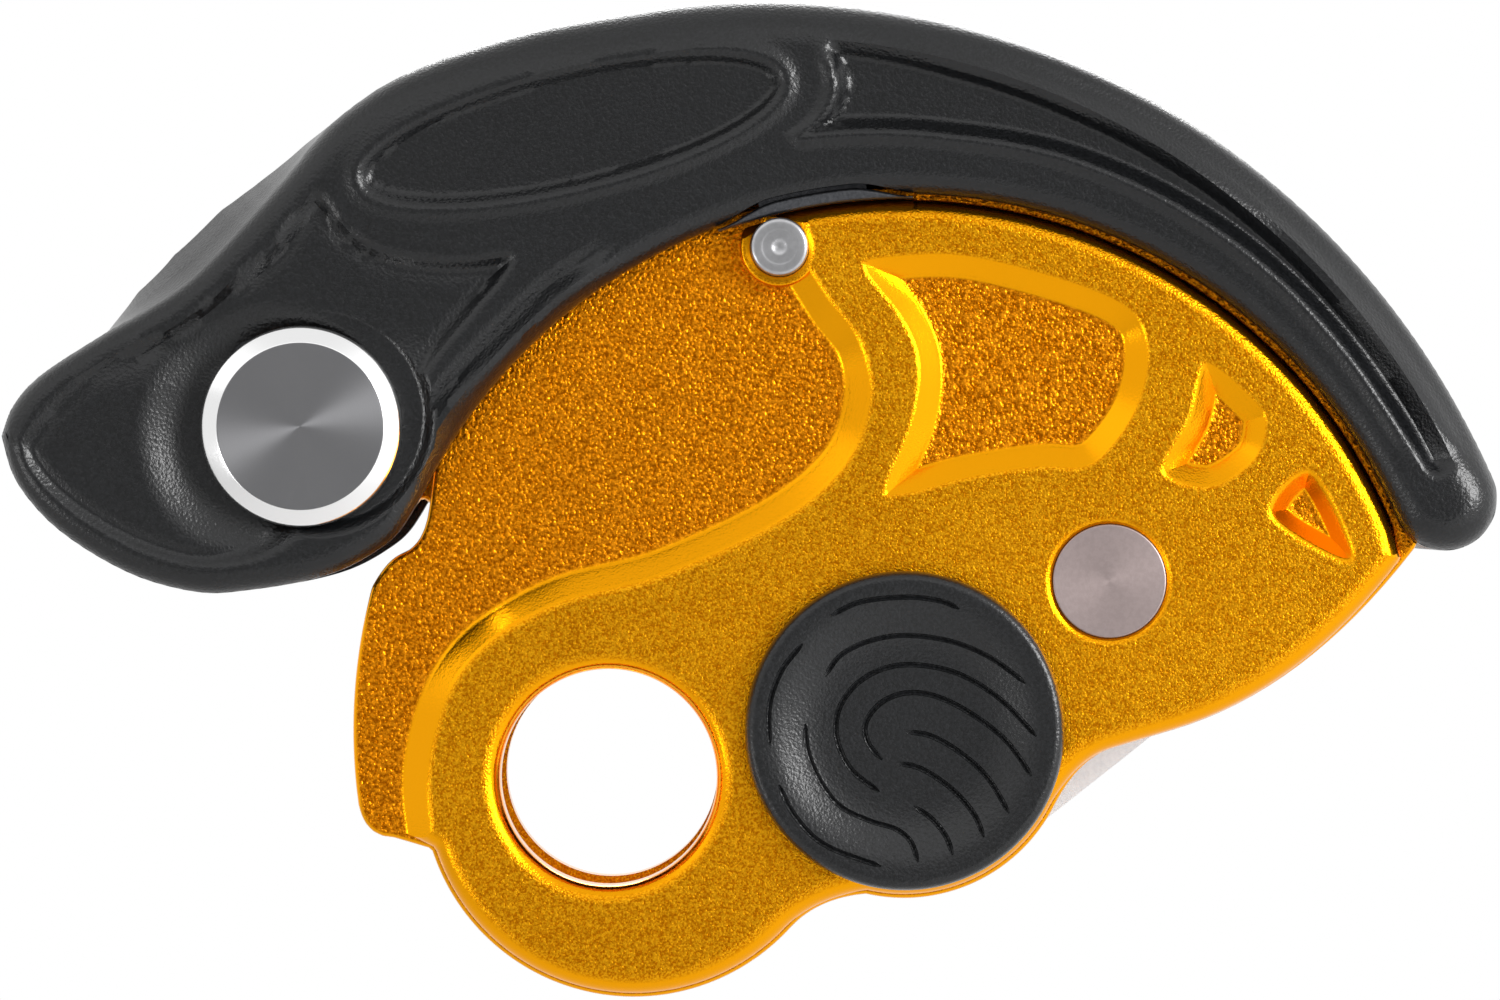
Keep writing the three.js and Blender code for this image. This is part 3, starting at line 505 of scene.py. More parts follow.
def turning_group() -> bpy.types.NodeTree:
    """Turning marks round an axis through the thickness: their height, the way across them and the radius."""
    tree, nodes = new_group("turning marks", {"Marks per metre": 9000.0}, ("Height", "Radius"), ("Centre",))
    tree.interface.new_socket("Way", in_out="OUTPUT", socket_type="NodeSocketVector")
    given = nodes.add("NodeGroupInput")
    made = nodes.add("NodeGroupOutput")
    place = nodes.add("ShaderNodeTexCoord")
    centred = nodes.add("ShaderNodeVectorMath", operation="SUBTRACT")
    nodes.link(place.outputs["Object"], centred.inputs[0])
    nodes.link(given.outputs["Centre"], centred.inputs[1])
    flat = nodes.add("ShaderNodeVectorMath", operation="MULTIPLY")
    flat.inputs[1].default_value = (1, 0, 1)
    nodes.link(centred.outputs[0], flat.inputs[0])
    length = nodes.add("ShaderNodeVectorMath", operation="LENGTH")
    nodes.link(flat.outputs[0], length.inputs[0])
    nodes.link(length.outputs["Value"], made.inputs["Radius"])
    radius = nodes.math("MULTIPLY", length.outputs["Value"], given.outputs["Marks per metre"])
    line = nodes.add("ShaderNodeTexNoise", noise_dimensions="1D", Scale=1.0, Detail=2.0, Roughness=0.7)
    nodes.link(radius, line.inputs["W"])
    nodes.link(line.outputs["Fac"], made.inputs["Height"])
    turned = nodes.add("ShaderNodeVectorTransform", vector_type="VECTOR", convert_from="OBJECT", convert_to="WORLD")
    nodes.link(flat.outputs[0], turned.inputs[0])
    nodes.link(turned.outputs[0], made.inputs["Way"])
    return tree


def new_material(name: str) -> tuple[bpy.types.Material, Nodes, bpy.types.Node]:
    """Starts a material with a Principled shader on its output."""
    material = bpy.data.materials.new(name)
    material.use_nodes = True
    nodes = Nodes(material.node_tree)
    shader = nodes.add("ShaderNodeBsdfPrincipled")
    out = nodes.add("ShaderNodeOutputMaterial")
    nodes.link(shader.outputs["BSDF"], out.inputs["Surface"])
    return material, nodes, shader


Colour = tuple[float, float, float]


def linear(red: int, green: int, blue: int) -> Colour:
    """Colour as written on a screen, turned to linear light."""
    def one(level: int) -> float:
        share = level / 255
        return share / 12.92 if share <= 0.04045 else ((share + 0.055) / 1.055) ** 2.4
    return one(red), one(green), one(blue)


# Sunk faces of a plate: how far a face may turn from the front, and the change of its grain and tint; faces that turn
# from the front take a brighter colour, a painted highlight
FACING = (0.8, 0.97, 0.2, 1.0)
SUNK_FROM = 8.0 * MM
SUNK_GRAIN = 0.62
SUNK_RELIEF = 2.6
SUNK_SHADE = (0.42, 0.32, 0.0)
WALL_HIGHLIGHT_SHARE = 1.25
WALL_SHINE = 0.4


@dataclass(frozen=True)
class Finish:
    """Finish of one kind of surface.

    Colours are linear. The grain is given per metre and its depth in millimetres. Specks is the share of the
    tint that the grain sets; the cloud sets the rest. Wall is a brighter colour painted on faces that turn from the
    front: a painted highlight on walls and rims.
    """

    name: str
    colour: Colour
    dark: Colour
    metallic: float
    rough: tuple[float, float]
    grain: float
    grain_depth: float
    specks: float = 0.5
    specular: float = 0.5
    sunk: Colour | None = None
    wall: Colour | None = None
    turned_on: Point | None = None
    turned_depth: float = 0.0
    turned_reach: float = 0.0
    brushed: float = 0.0

    def make(self, groups: dict[str, bpy.types.NodeTree]) -> bpy.types.Material:
        """Builds the material.

        Args:
            groups: The shared node groups by name.

        Returns:
            The finished material.
        """
        material, nodes, shader = new_material(self.name)
        grain = nodes.add("ShaderNodeGroup", node_tree=groups["grain"])
        grain.inputs["Grain per metre"].default_value = self.grain
        share = nodes.math("ADD", nodes.math("MULTIPLY", grain.outputs["Speck"], self.specks),
                           nodes.math("MULTIPLY", grain.outputs["Cloud"], 1.0 - self.specks), clamp=True)
        tint = nodes.mix("RGBA", share, self.dark, self.colour)
        height = grain.outputs["Height"]
        if self.sunk is not None:
            tint, height, level = self.sink(nodes, groups, tint, height)
        nodes.link(tint, shader.inputs["Base Color"])
        rough = nodes.span(grain.outputs["Cloud"], 0.0, 1.0, *self.rough)
        if self.sunk is not None:
            rough = nodes.math("MULTIPLY", rough, nodes.math("POWER", level, WALL_SHINE))
        nodes.link(rough, shader.inputs["Roughness"])
        shader.inputs["Metallic"].default_value = self.metallic
        shader.inputs["Specular IOR Level"].default_value = self.specular
        bump = nodes.add("ShaderNodeBump", Strength=1.0, Distance=self.grain_depth * MM)
        nodes.link(height, bump.inputs["Height"])
        if self.sunk is not None:
            nodes.link(level, bump.inputs["Strength"])
        last = bump if self.turned_on is None else self.turn(nodes, groups, shader, bump)
        nodes.link(last.outputs["Normal"], shader.inputs["Normal"])
        return material

    def sink(self, nodes: Nodes, groups: dict[str, bpy.types.NodeTree], tint: bpy.types.NodeSocket,
             height: bpy.types.NodeSocket) -> tuple[bpy.types.NodeSocket, ...]:
        """Deeper colour and coarser grain on the sunk faces of a plate; its walls and rounded rims take the brighter
        wall colour, a painted highlight.
        """
        place = nodes.add("ShaderNodeTexCoord")
        depth, facing = (nodes.add("ShaderNodeSeparateXYZ") for _ in range(2))
        nodes.link(place.outputs["Object"], depth.inputs[0])
        nodes.link(place.outputs["Normal"], facing.inputs[0])
        out = nodes.math("ABSOLUTE", depth.outputs["Y"])
        level = nodes.span(nodes.math("ABSOLUTE", facing.outputs["Y"]), *FACING, "SMOOTHSTEP")
        low = nodes.span(out, (LAYOUT.land_y - 0.15) * MM, (LAYOUT.recess_y + 0.5) * MM, kind="SMOOTHSTEP")
        low = nodes.math("MULTIPLY", low, nodes.math("GREATER_THAN", out, SUNK_FROM))
        sunk = nodes.math("MULTIPLY", low, level)
        coarse = nodes.add("ShaderNodeGroup", node_tree=groups["grain"])
        coarse.inputs["Grain per metre"].default_value = self.grain * SUNK_GRAIN
        shade = tuple(full * share for full, share in zip(self.sunk, SUNK_SHADE))
        deep = nodes.mix("RGBA", coarse.outputs["Speck"], shade, self.sunk)
        colour = nodes.mix("RGBA", sunk, tint, deep)
        height = nodes.mix("FLOAT", sunk, height, nodes.math("MULTIPLY", coarse.outputs["Height"], SUNK_RELIEF))
        # Faces that turn from the front, walls and rounded rims, are painted in the brighter wall colour: a painted
        # highlight.
        plain = nodes.math("MULTIPLY", nodes.math("SUBTRACT", 1.0, level), WALL_HIGHLIGHT_SHARE)
        return nodes.mix("RGBA", plain, colour, self.wall), height, level

    def turn(self, nodes: Nodes, groups: dict[str, bpy.types.NodeTree], shader: bpy.types.Node,
             bump: bpy.types.Node) -> bpy.types.Node:
        """Turning marks, and the sheen that they give."""
        marks = nodes.add("ShaderNodeGroup", node_tree=groups["turning"])
        marks.inputs["Centre"].default_value = (self.turned_on[0] * MM, 0, self.turned_on[1] * MM)
        nodes.link(marks.outputs["Way"], shader.inputs["Tangent"])
        if self.turned_reach:
            inside = nodes.math("LESS_THAN", marks.outputs["Radius"], self.turned_reach * MM)
            nodes.link(nodes.math("MULTIPLY", inside, self.brushed), shader.inputs["Anisotropic"])
            nodes.link(nodes.mix("RGBA", inside, linear(250, 250, 250), self.colour), shader.inputs["Base Color"])
            nodes.link(nodes.math("MULTIPLY_ADD", inside, 0.2, 0.16), shader.inputs["Roughness"])
        else:
            shader.inputs["Anisotropic"].default_value = self.brushed
        lines = nodes.add("ShaderNodeBump", Strength=1.0, Distance=self.turned_depth * MM)
        nodes.link(marks.outputs["Height"], lines.inputs["Height"])
        nodes.link(bump.outputs["Normal"], lines.inputs["Normal"])
        return lines


class Finishes:
    """All materials of the device."""

    def __init__(self) -> None:
        """Builds the shared groups; materials are made when first asked for."""
        self.groups = {"grain": grain_group(), "turning": turning_group()}
        self.made: dict[str, bpy.types.Material] = {}

    def of(self, finish: Finish) -> bpy.types.Material:
        """Material of a finish."""
        if finish.name not in self.made:
            self.made[finish.name] = finish.make(self.groups)
        return self.made[finish.name]


# The wall colour of the gold is a painted highlight on the plates' walls and rims.
GOLD = Finish("gold anodised", linear(255, 180, 22), linear(190, 106, 0), 1.0, (0.26, 0.32), 5800, 0.055, 0.8,
              sunk=linear(232, 142, 16), wall=linear(255, 170, 10))
MOULDED = Finish("moulded handle", linear(22, 23, 25), linear(6, 7, 8), 0.0, (0.24, 0.31), 3900, 0.05, 0.8)
CAP = Finish("thumb rest", linear(28, 29, 31), linear(8, 9, 10), 0.0, (0.25, 0.31), 4200, 0.04, 0.75)
DARK_STEEL = Finish("dark steel", linear(92, 93, 96), linear(66, 67, 70), 1.0, (0.38, 0.5), 3600, 0.03)
BRONZE = Finish("bearing bronze", linear(170, 122, 74), linear(150, 104, 60), 1.0, (0.35, 0.45), 3000, 0.01)
POLISHED = Finish("polished steel", linear(228, 228, 230), linear(215, 215, 218), 1.0, (0.14, 0.22), 2500, 0.002)
BLASTED_STEEL = Finish("blasted steel", linear(250, 250, 250), linear(236, 236, 238), 0.35, (0.4, 0.5), 2600, 0.01)
PLAIN_STEEL = Finish("plain steel", linear(190, 176, 172), linear(172, 160, 156), 1.0, (0.36, 0.48), 2600, 0.006)
SPRING = Finish("spring wire", linear(180, 184, 188), linear(160, 164, 168), 1.0, (0.25, 0.35), 2500, 0.004)


def turned_steel(name: str, centre: Point, tone: tuple[int, int, int] = (205, 205, 206),
                 rough: tuple[float, float] = (0.24, 0.32), depth: float = 0.003, brushed: float = 0.0,
                 reach: float = 0.0) -> Finish:
    """Steel with turning marks about a centre."""
    darker = tuple(round(level * 0.88) for level in tone)
    return Finish(name, linear(*tone), linear(*darker), 1.0, rough, 2600, 0.002, 0.3,
                  turned_on=centre, turned_depth=depth, turned_reach=reach, brushed=brushed)


@dataclass(frozen=True)
class Piece:
    """Shape of a finished piece, the node it stands for, what it rides on, and how it looks."""

    solid: Solid
    node: str
    body: Body
    slot: str
    finish: Finish
    sharp: float = 32.0

    def show(self, finishes: Finishes) -> bpy.types.Object:
        """Turns the shape into an object of the scene.

        Args:
            finishes: The materials.

        Returns:
            The object, at the origin and in metres.
        """
        bm = self.solid.bm
        bmesh.ops.remove_doubles(bm, verts=bm.verts[:], dist=1e-5)
        bmesh.ops.scale(bm, vec=(MM, MM, MM), verts=bm.verts[:])
        bm.normal_update()
        for face in bm.faces:
            face.smooth = True
        for edge in bm.edges:
            edge.smooth = len(edge.link_faces) == 2 and edge.calc_face_angle(0.0) < math.radians(self.sharp)
        name = f"{self.node}_shown"
        mesh = bpy.data.meshes.new(name)
        bm.to_mesh(mesh)
        LOG.info("%s: %d triangles", name, sum(len(face.verts) - 2 for face in bm.faces))
        bm.free()
        made = placed(name, mesh)
        mesh.materials.append(finishes.of(self.finish))
        weighted = made.modifiers.new("weighted normals", "WEIGHTED_NORMAL")
        weighted.keep_sharp, weighted.weight = True, 50
        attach(made, self.body.value)
        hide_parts(self.node)
        return made


@dataclass
class SubAssembly:
    """Pieces that are shaped together on the same layout."""

    layout: Layout = LAYOUT

    def pieces(self) -> Iterator[Piece]:
        """The pieces, in building order."""
        raise NotImplementedError


# Side plates


@dataclass
class SidePlates(SubAssembly):
    """Front and rear plates with their raised lands, pockets and eyes."""

    rim: float = 0.45
    land_rim: float = 1.75
    land_edge_r: float = 40.25
    land_step: float = 0.3
    land_spare: float = 2.4
    eye_r: float = 8.2
    eye_round: float = 1.5
    lobe_r: float = 16.1
    ring_r: float = 12.8
    ear_r: float = 9.9
    flange_r: float = 41.8
    recess_run: float = 3.0
    pocket_depth: float = 1.45
    well_r: float = 8.8
    well_depth: float = 2.4
    stud_boss: float = 3.0
    bush_bore: float = 5.5
    rope_pin_bore: float = 4.3
    stud_bore: float = 2.2
    post_bore: float = 4.1
    pin_bore: float = 5.1
    anchor_bore: float = 1.4
    rivet_bore: float = 2.15
    pocket_runs: tuple[float, ...] = (2.4, 2.3, 2.05)
    recess_line: tuple[Point, ...] = (
        (-0.2, 1.02), (-0.19, 0.91), (-0.13, 0.80), (-0.066, 0.71), (-0.05, 0.6), (-0.095, 0.48), (-0.215, 0.375),
        (-0.435, 0.272), (-0.64, 0.215), (-0.795, 0.105), (-0.858, -0.08), (-0.835, -0.27),
    )
    large_pocket: tuple[Point, ...] = (
        (-0.082, 0.853), (0.007, 0.877), (0.138, 0.872), (0.331, 0.819), (0.428, 0.766), (0.454, 0.688),
        (0.435, 0.592), (0.384, 0.512), (0.331, 0.473), (0.244, 0.473), (0.111, 0.452), (0.007, 0.425),
        (-0.042, 0.437), (0.007, 0.565), (0.019, 0.669), (-0.012, 0.751),
    )
    middle_pocket: tuple[Point, ...] = (
        (0.55, 0.68), (0.652, 0.601), (0.669, 0.556), (0.645, 0.488), (0.56, 0.437), (0.466, 0.47),
        (0.514, 0.572),
    )
    small_pocket: tuple[Point, ...] = ((0.745, 0.484), (0.83, 0.33), (0.79, 0.305), (0.66, 0.395))

    def shared(self, share: Point, trim: float = 0.0) -> Point:
        """Place given as a share of the plate's radius."""
        size = self.layout.plate_r - trim
        return self.layout.pivot[0] + share[0] * size, self.layout.pivot[1] + share[1] * size

    def lower_edge(self, is_front: bool, trim: float) -> list[Point]:
        """Lower edge from the lobe round the pivot to the corner."""
        at = self.layout
        line = arc(at.lobe, self.lobe_r - trim, 197.5, 318)
        neck = polar(at.pivot, self.ring_r - trim, -103)
        line += bend(line[-1], self.shared((-0.157, -0.309), trim), neck)
        line += arc(at.pivot, self.ring_r - trim, -103, -27 if is_front else -56)[1:]
        if is_front:
            line += bend(line[-1], self.shared((0.321, -0.052), trim), self.shared((0.383, -0.034), trim))
        toe = self.shared((0.496, 0) if is_front else (0.5, 0.002), trim)
        line.append(toe)
        corner = polar(at.pivot, at.land_r, 19) if trim > 0 else self.shared((0.93, 0.324))
        line += bend(toe, self.shared((0.733, 0.071), trim), corner, 16)
        return line

    def outline(self, is_front: bool) -> list[Point]:
        """Whole outline of a plate."""
        at = self.layout
        line = arc(at.pivot, at.plate_r, 22.5, 149 if is_front else 114)
        if not is_front:
            line += arc(at.pin, self.ear_r, 99, 327)
        line.append(self.shared((-0.87, 0.408)))
        notch = self.shared((-0.918, 0.324))
        line += bend(line[-1], self.shared((-0.879, 0.338)), notch, 6)
        flange = polar(at.pivot, self.flange_r, 165)
        line += bend(notch, self.shared((-0.947, 0.314)), flange, 6)
        line += arc(at.pivot, self.flange_r, 165, 186.5)[1:]
        line += bend(line[-1], self.shared((-0.998, -0.198)), self.shared((-0.935, -0.198)), 6)
        line += self.lower_edge(is_front, 0.0)
        line += bend(line[-1], self.shared((0.959, 0.355)), polar(at.pivot, at.plate_r, 22.5), 6)[:-1]
        return spaced(line, 0.4)

    def land_outline(self, is_front: bool) -> list[Point]:
        """Outline of the raised land before its recess is cut."""
        at = self.layout
        line = arc(at.pivot, self.land_edge_r, 22.5, 106)
        line += arc(at.lobe, self.lobe_r + self.land_spare, 150, 190)
        line += self.lower_edge(is_front, self.land_step)
        return spaced(line, 0.4)

    def recess(self) -> Solid:
        """Cutter of the recess beside the handle's nose."""
        at = self.layout
        line = through([self.shared(share) for share in self.recess_line], 10)
        line += [self.shared(share) for share in ((-1.15, -0.3), (-1.2, 0.6), (-0.5, 1.25))]
        return Solid.slab(spaced(line, 0.45), -at.land_y - OVERRUN, -at.recess_y,
                          back_rim=sloping_wall(self.recess_run, at.land_y - at.recess_y, 1.5))

    def pocket(self, shares: tuple[Point, ...], run: float) -> Solid:
        """Cutter of a pocket with sloping walls."""
        at = self.layout
        line = spaced(through([self.shared(share) for share in shares], 8, closed=True), 0.3)
        return Solid.slab(line, -at.land_y - OVERRUN, -at.land_y + self.pocket_depth,
                          back_rim=sloping_wall(run, self.pocket_depth))

    def eye_cutter(self) -> Solid:
        """Bore with a rounded lead-in."""
        at, r, lead = self.layout, self.eye_r, self.eye_round
        face = -at.land_y
        curve = [(r + lead * (1 - math.cos(t)), face + lead * (1 - math.sin(t)))
                 for t in (math.pi / 2 * i / 8 for i in range(9))]
        profile = [(0, -at.channel + OVERRUN), (r, -at.channel + OVERRUN)] + curve
        profile += [(r + lead, face - OVERRUN), (0, face - OVERRUN)]
        return Solid.turned(at.eye, profile, 120)

    def blank(self, is_front: bool) -> Solid:
        """Plate in the front position, before its own holes."""
        at = self.layout
        base = Solid.slab(self.outline(is_front), -at.recess_y, -at.channel,
                          round_rim(self.rim, 3), round_rim(self.rim, 2))
        land = Solid.slab(self.land_outline(is_front), -at.land_y, -at.channel - 1.5,
                          round_rim(self.land_rim, 6))
        return base.combine(Cut.JOIN, land.combine(Cut.CARVE, self.recess()))

    def front(self) -> Solid:
        """Front plate."""
        at = self.layout
        boss = Solid.slab(arc(at.stud, self.stud_boss, 0, FULL_TURN)[:-1], -at.land_y, -at.channel - 0.5,
                          round_rim(0.35, 3))
        trim = Solid.turned(at.pivot, [(0, 0), (at.land_r, 0), (at.land_r, -at.land_y + 1.0),
                                       (at.land_r - 0.8, -at.land_y), (0, -at.land_y)], 200)
        pockets = zip((self.large_pocket, self.middle_pocket, self.small_pocket), self.pocket_runs)
        holes = [
            self.eye_cutter(),
            *(self.pocket(shares, run) for shares, run in pockets),
            Solid.bar(at.pivot, self.well_r, -at.land_y - OVERRUN, -at.land_y + self.well_depth),
            Solid.bar(at.pivot, self.bush_bore, -at.land_y - OVERRUN, -at.channel + OVERRUN),
            self.pin_hole(at.rope_pin, self.rope_pin_bore),
            self.pin_hole(at.stud, self.stud_bore),
        ]
        return self.blank(True).combine(Cut.JOIN, boss.combine(Cut.KEEP, trim)).combine(Cut.CARVE, *holes)

    def pin_hole(self, centre: Point, radius: float) -> Solid:
        """Hole with a small countersink."""
        at = self.layout
        r, face = radius + 0.06, -at.land_y
        return Solid.turned(centre, [(0, -at.channel + OVERRUN), (r, -at.channel + OVERRUN), (r, face + 0.3),
                                     (r + 0.14, face + 0.2), (r + 0.34, face + 0.08), (r + 0.6, face),
                                     (r + 0.6, face - OVERRUN), (0, face - OVERRUN)])

    def rear(self) -> Solid:
        """Rear plate."""
        at = self.layout
        depth = at.land_y + OVERRUN
        bores = [(at.pivot, self.post_bore), (at.pin, self.pin_bore), (HandlePin(at).anchor_place(), self.anchor_bore)]
        bores += [(place, self.rivet_bore) for place in Brake(at).rivet_places()]
        holes = [self.eye_cutter().flipped(), *(Solid.bar(place, radius, 0, depth) for place, radius in bores)]
        return self.blank(False).flipped().combine(Cut.CARVE, *holes)

    def pieces(self) -> Iterator[Piece]:
        """Both plates."""
        yield Piece(self.front(), "front_plate", Body.SWING, "gold", GOLD)
        yield Piece(self.rear(), "rear_plate", Body.REAR, "gold", GOLD)


# Parts round the pivot


def eased(corners: list[tuple[float, float, float]], steps: int = 4) -> list[Point]:
    """Profile with rounded corners.

    Args:
        corners: Radius, depth and easing of each corner.
        steps: Facets of an eased corner.

    Returns:
        The points of the profile.
    """
    line: list[Point] = []
    for index, (radius, depth, ease) in enumerate(corners):
        spot = np.array([radius, depth])
        if ease <= 0 or index in (0, len(corners) - 1):
            line.append((radius, depth))
            continue
        ends = []
        for other in (corners[index - 1], corners[index + 1]):
            way = np.array(other[:2]) - spot
            ends.append(spot + way / np.linalg.norm(way) * min(ease, np.linalg.norm(way) * 0.49))
        line.append(tuple(ends[0]))
        line += bend(tuple(ends[0]), (radius, depth), tuple(ends[1]), steps)
    return line


def sleeve(centre: Point, inner: float, outer: float, front: float, back: float, ease: float = 0.12) -> Solid:
    """Short tube with slightly eased rims."""
    corners = [(inner, (front + back) / 2, 0), (inner, front, ease), (outer, front, ease), (outer, back, ease),
               (inner, back, ease), (inner, (front + back) / 2, 0)]
    return Solid.turned(centre, eased(corners)[:-1])


def arc_band(centre: Point, inner: float, outer: float, start: float, stop: float, step: float = 0.4) -> list[Point]:
    """Outline of a band between two arcs."""
    return arc(centre, outer, start, stop, step) + arc(centre, inner, stop, start, step)


@dataclass
class PivotGroup(SubAssembly):
    """Post, drum, washers and clip on the pivot, with the dished thumb rest over them."""

    post_r: float = 4.0
    neck_r: float = 3.0
    head_r: float = 7.4
    head_thick: float = 1.8
    drum_r: float = 8.0
    drum_waist: float = 0.9
    bush_wall: float = 0.9
    washer_thick: float = 0.6
    well_r: float = 8.8
    well_depth: float = 2.4
    retainer_thick: float = 0.8
    clip_r: float = 5.6
    clip_mouth: float = 70.0
    cap_r: float = 12.05
    cap_rise: float = 2.3
    cap_plug: float = 1.0
    cap_plug_wall: float = 0.8
    cap_hollow: float = 0.6
    groove_wide: float = 0.42
    groove_lines: tuple[tuple[Point, ...], ...] = (
        ((-5.6, 8.7), (-3.3, 9.75), (0.1, 10.1), (2.7, 9.8), (4.1, 9.2)),
        ((-6.0, 4.1), (-4.85, 5.7), (-2.6, 6.8), (0.1, 7.2), (3.5, 6.75), (6.5, 5.5), (9.1, 3.6)),
        ((-1.9, -4.6), (-4.1, -2.85), (-5.15, -0.4), (-4.85, 1.9), (-3.3, 3.8), (-1.0, 4.85), (1.6, 4.9),
         (4.4, 4.15), (7.3, 2.3), (9.9, -0.4)),
        ((-1.7, -2.2), (-2.75, -0.95), (-2.95, 0.55), (-1.8, 2.1), (0.1, 2.85), (2.35, 2.6), (5.0, 1.3),
         (7.65, -0.75), (9.55, -3.4)),
        ((0.1, -0.1), (2.0, -0.4), (4.25, -1.7), (6.3, -3.6), (7.85, -6.2)),
        ((-0.6, -2.45), (1.2, -2.85), (3.5, -4.35), (5.2, -6.25), (5.95, -8.0)),
        ((0.65, -5.7), (2.0, -6.6), (3.1, -7.95), (3.6, -9.35)),
        ((-7.5, 0.55), (-7.3, -1.5), (-6.35, -3.8), (-4.85, -5.7), (-2.6, -6.8), (-0.7, -7.4), (0.45, -8.35),
         (1.0, -9.9)),
        ((-7.7, 6.6), (-9.3, 4.55), (-10.2, 1.9), (-10.2, -1.1)),
        ((-9.5, -4.05), (-8.25, -6.45), (-6.0, -8.6), (-1.8, -10.2)),
    )

    @property
    def well_floor(self) -> float:
        """Depth of the floor of the front plate's well."""
        return -self.layout.land_y + self.well_depth

    def post(self) -> Solid:
        """Post with a neck in front and a head behind."""
        gap, back = self.layout.gap, self.layout.land_y + self.layout.gap
        floor = self.well_floor - gap
        corners = [(0, -self.layout.land_y, 0), (self.neck_r, -self.layout.land_y, 0.3), (self.neck_r, floor, 0.1),
                   (self.post_r, floor, 0.2), (self.post_r, back, 0.1), (self.head_r, back, 0.15),
                   (self.head_r, back + self.head_thick, 0.9), (0, back + self.head_thick, 0)]
        return Solid.turned(self.layout.pivot, eased(corners, 6))

    def drum(self, front: float, back: float) -> Solid:
        """Waisted drum that the rope runs over."""
        waist = [(self.drum_r - self.drum_waist * math.sin(math.pi * (i + 0.5) / 16) ** 0.8,
                  front + (back - front) * (i + 0.5) / 16) for i in range(16)]
        bore = self.post_r + self.layout.gap
        line = [(bore, front + 0.1), (bore + 0.1, front), (self.drum_r - 0.15, front), (self.drum_r, front + 0.12)]
        line += waist + [(self.drum_r, back - 0.12), (self.drum_r - 0.15, back), (bore + 0.1, back), (bore, back - 0.1)]
        return Solid.turned(self.layout.pivot, line)

    def clip(self, front: float) -> Solid:
        """Open ring that holds the washer."""
        outline = arc_band(self.layout.pivot, self.neck_r + self.layout.gap, self.clip_r, self.clip_mouth / 2,
                           FULL_TURN - self.clip_mouth / 2, 0.25)
        return Solid.slab(outline, front, front + self.retainer_thick, round_rim(0.15, 3), round_rim(0.15, 3))

    def cap(self) -> Solid:
        """Dished thumb rest with grip grooves."""
        back = -self.layout.land_y - self.layout.gap
        top, plug = back - self.cap_rise, self.well_r - self.layout.gap
        dish = [(0, 1.25), (3.0, 1.24), (5.2, 1.19), (6.2, 1.12), (7.0, 1.0), (7.8, 0.8), (8.6, 0.54), (9.3, 0.3),
                (9.8, 0.16), (10.3, 0.07), (10.9, 0.02), (11.3, 0.0), (11.5, 0.03), (11.7, 0.13), (11.87, 0.34),
                (11.99, 0.68), (12.05, 1.1)]
        line = [(r, top + dip) for r, dip in dish] + [(self.cap_r, back - 0.15), (self.cap_r - 0.15, back)]
        line += [(plug, back), (plug, back + self.cap_plug), (plug - self.cap_plug_wall, back + self.cap_plug),
                 (plug - self.cap_plug_wall, back - self.cap_hollow), (0, back - self.cap_hollow)]
        body = Solid.turned(self.layout.pivot, line, 160)
        cutters = [self.groove(line, top, dish) for line in self.groove_lines]
        return body.combine(Cut.CARVE, *cutters)

    def groove(self, places: tuple[Point, ...], top: float, dish: list[Point]) -> Solid:
        """Cutter of one grip groove: a thin round bar laid on the dish.

        Args:
            places: Places that the groove passes, from the cap's centre.
            top: Depth of the cap's highest ring.
            dish: Radii and dips of the cap's face.

        Returns:
            The cutter.
        """
        x, z = self.layout.pivot
        path = np.array(spaced(through(list(places), 10), 0.25, closed=False))
        radii, dips = np.array(dish).T
        depth = top + np.interp(np.linalg.norm(path, axis=1), radii, dips)
        way = np.gradient(path, axis=0)
        way /= np.linalg.norm(way, axis=1, keepdims=True)
        bm = bmesh.new()
        place = bm.verts.layers.int.new("place")
        first = bmesh.ops.create_circle(bm, cap_ends=False, segments=8, radius=1.0)["verts"]
        edges = bm.edges[:]
        turns = [math.atan2(vert.co.y, vert.co.x) for vert in first]
        for index, vert in enumerate(first):
            vert[place] = index
        for step, (spot, y, ahead) in enumerate(zip(path, depth, way)):
            reach = self.groove_wide / 2 * min(1.0, 0.35 + 0.3 * min(step, len(path) - 1 - step))
            ring = [(x + spot[0] - ahead[1] * reach * math.cos(a), y + reach * math.sin(a) * 1.5,
                     z + spot[1] + ahead[0] * reach * math.cos(a)) for a in turns]
            if step == 0:
                for vert in first:
                    vert.co = ring[vert[place]]
            else:
                edges = extruded(bm, edges, place, ring)
        return Solid.closed(bm, merge=0)

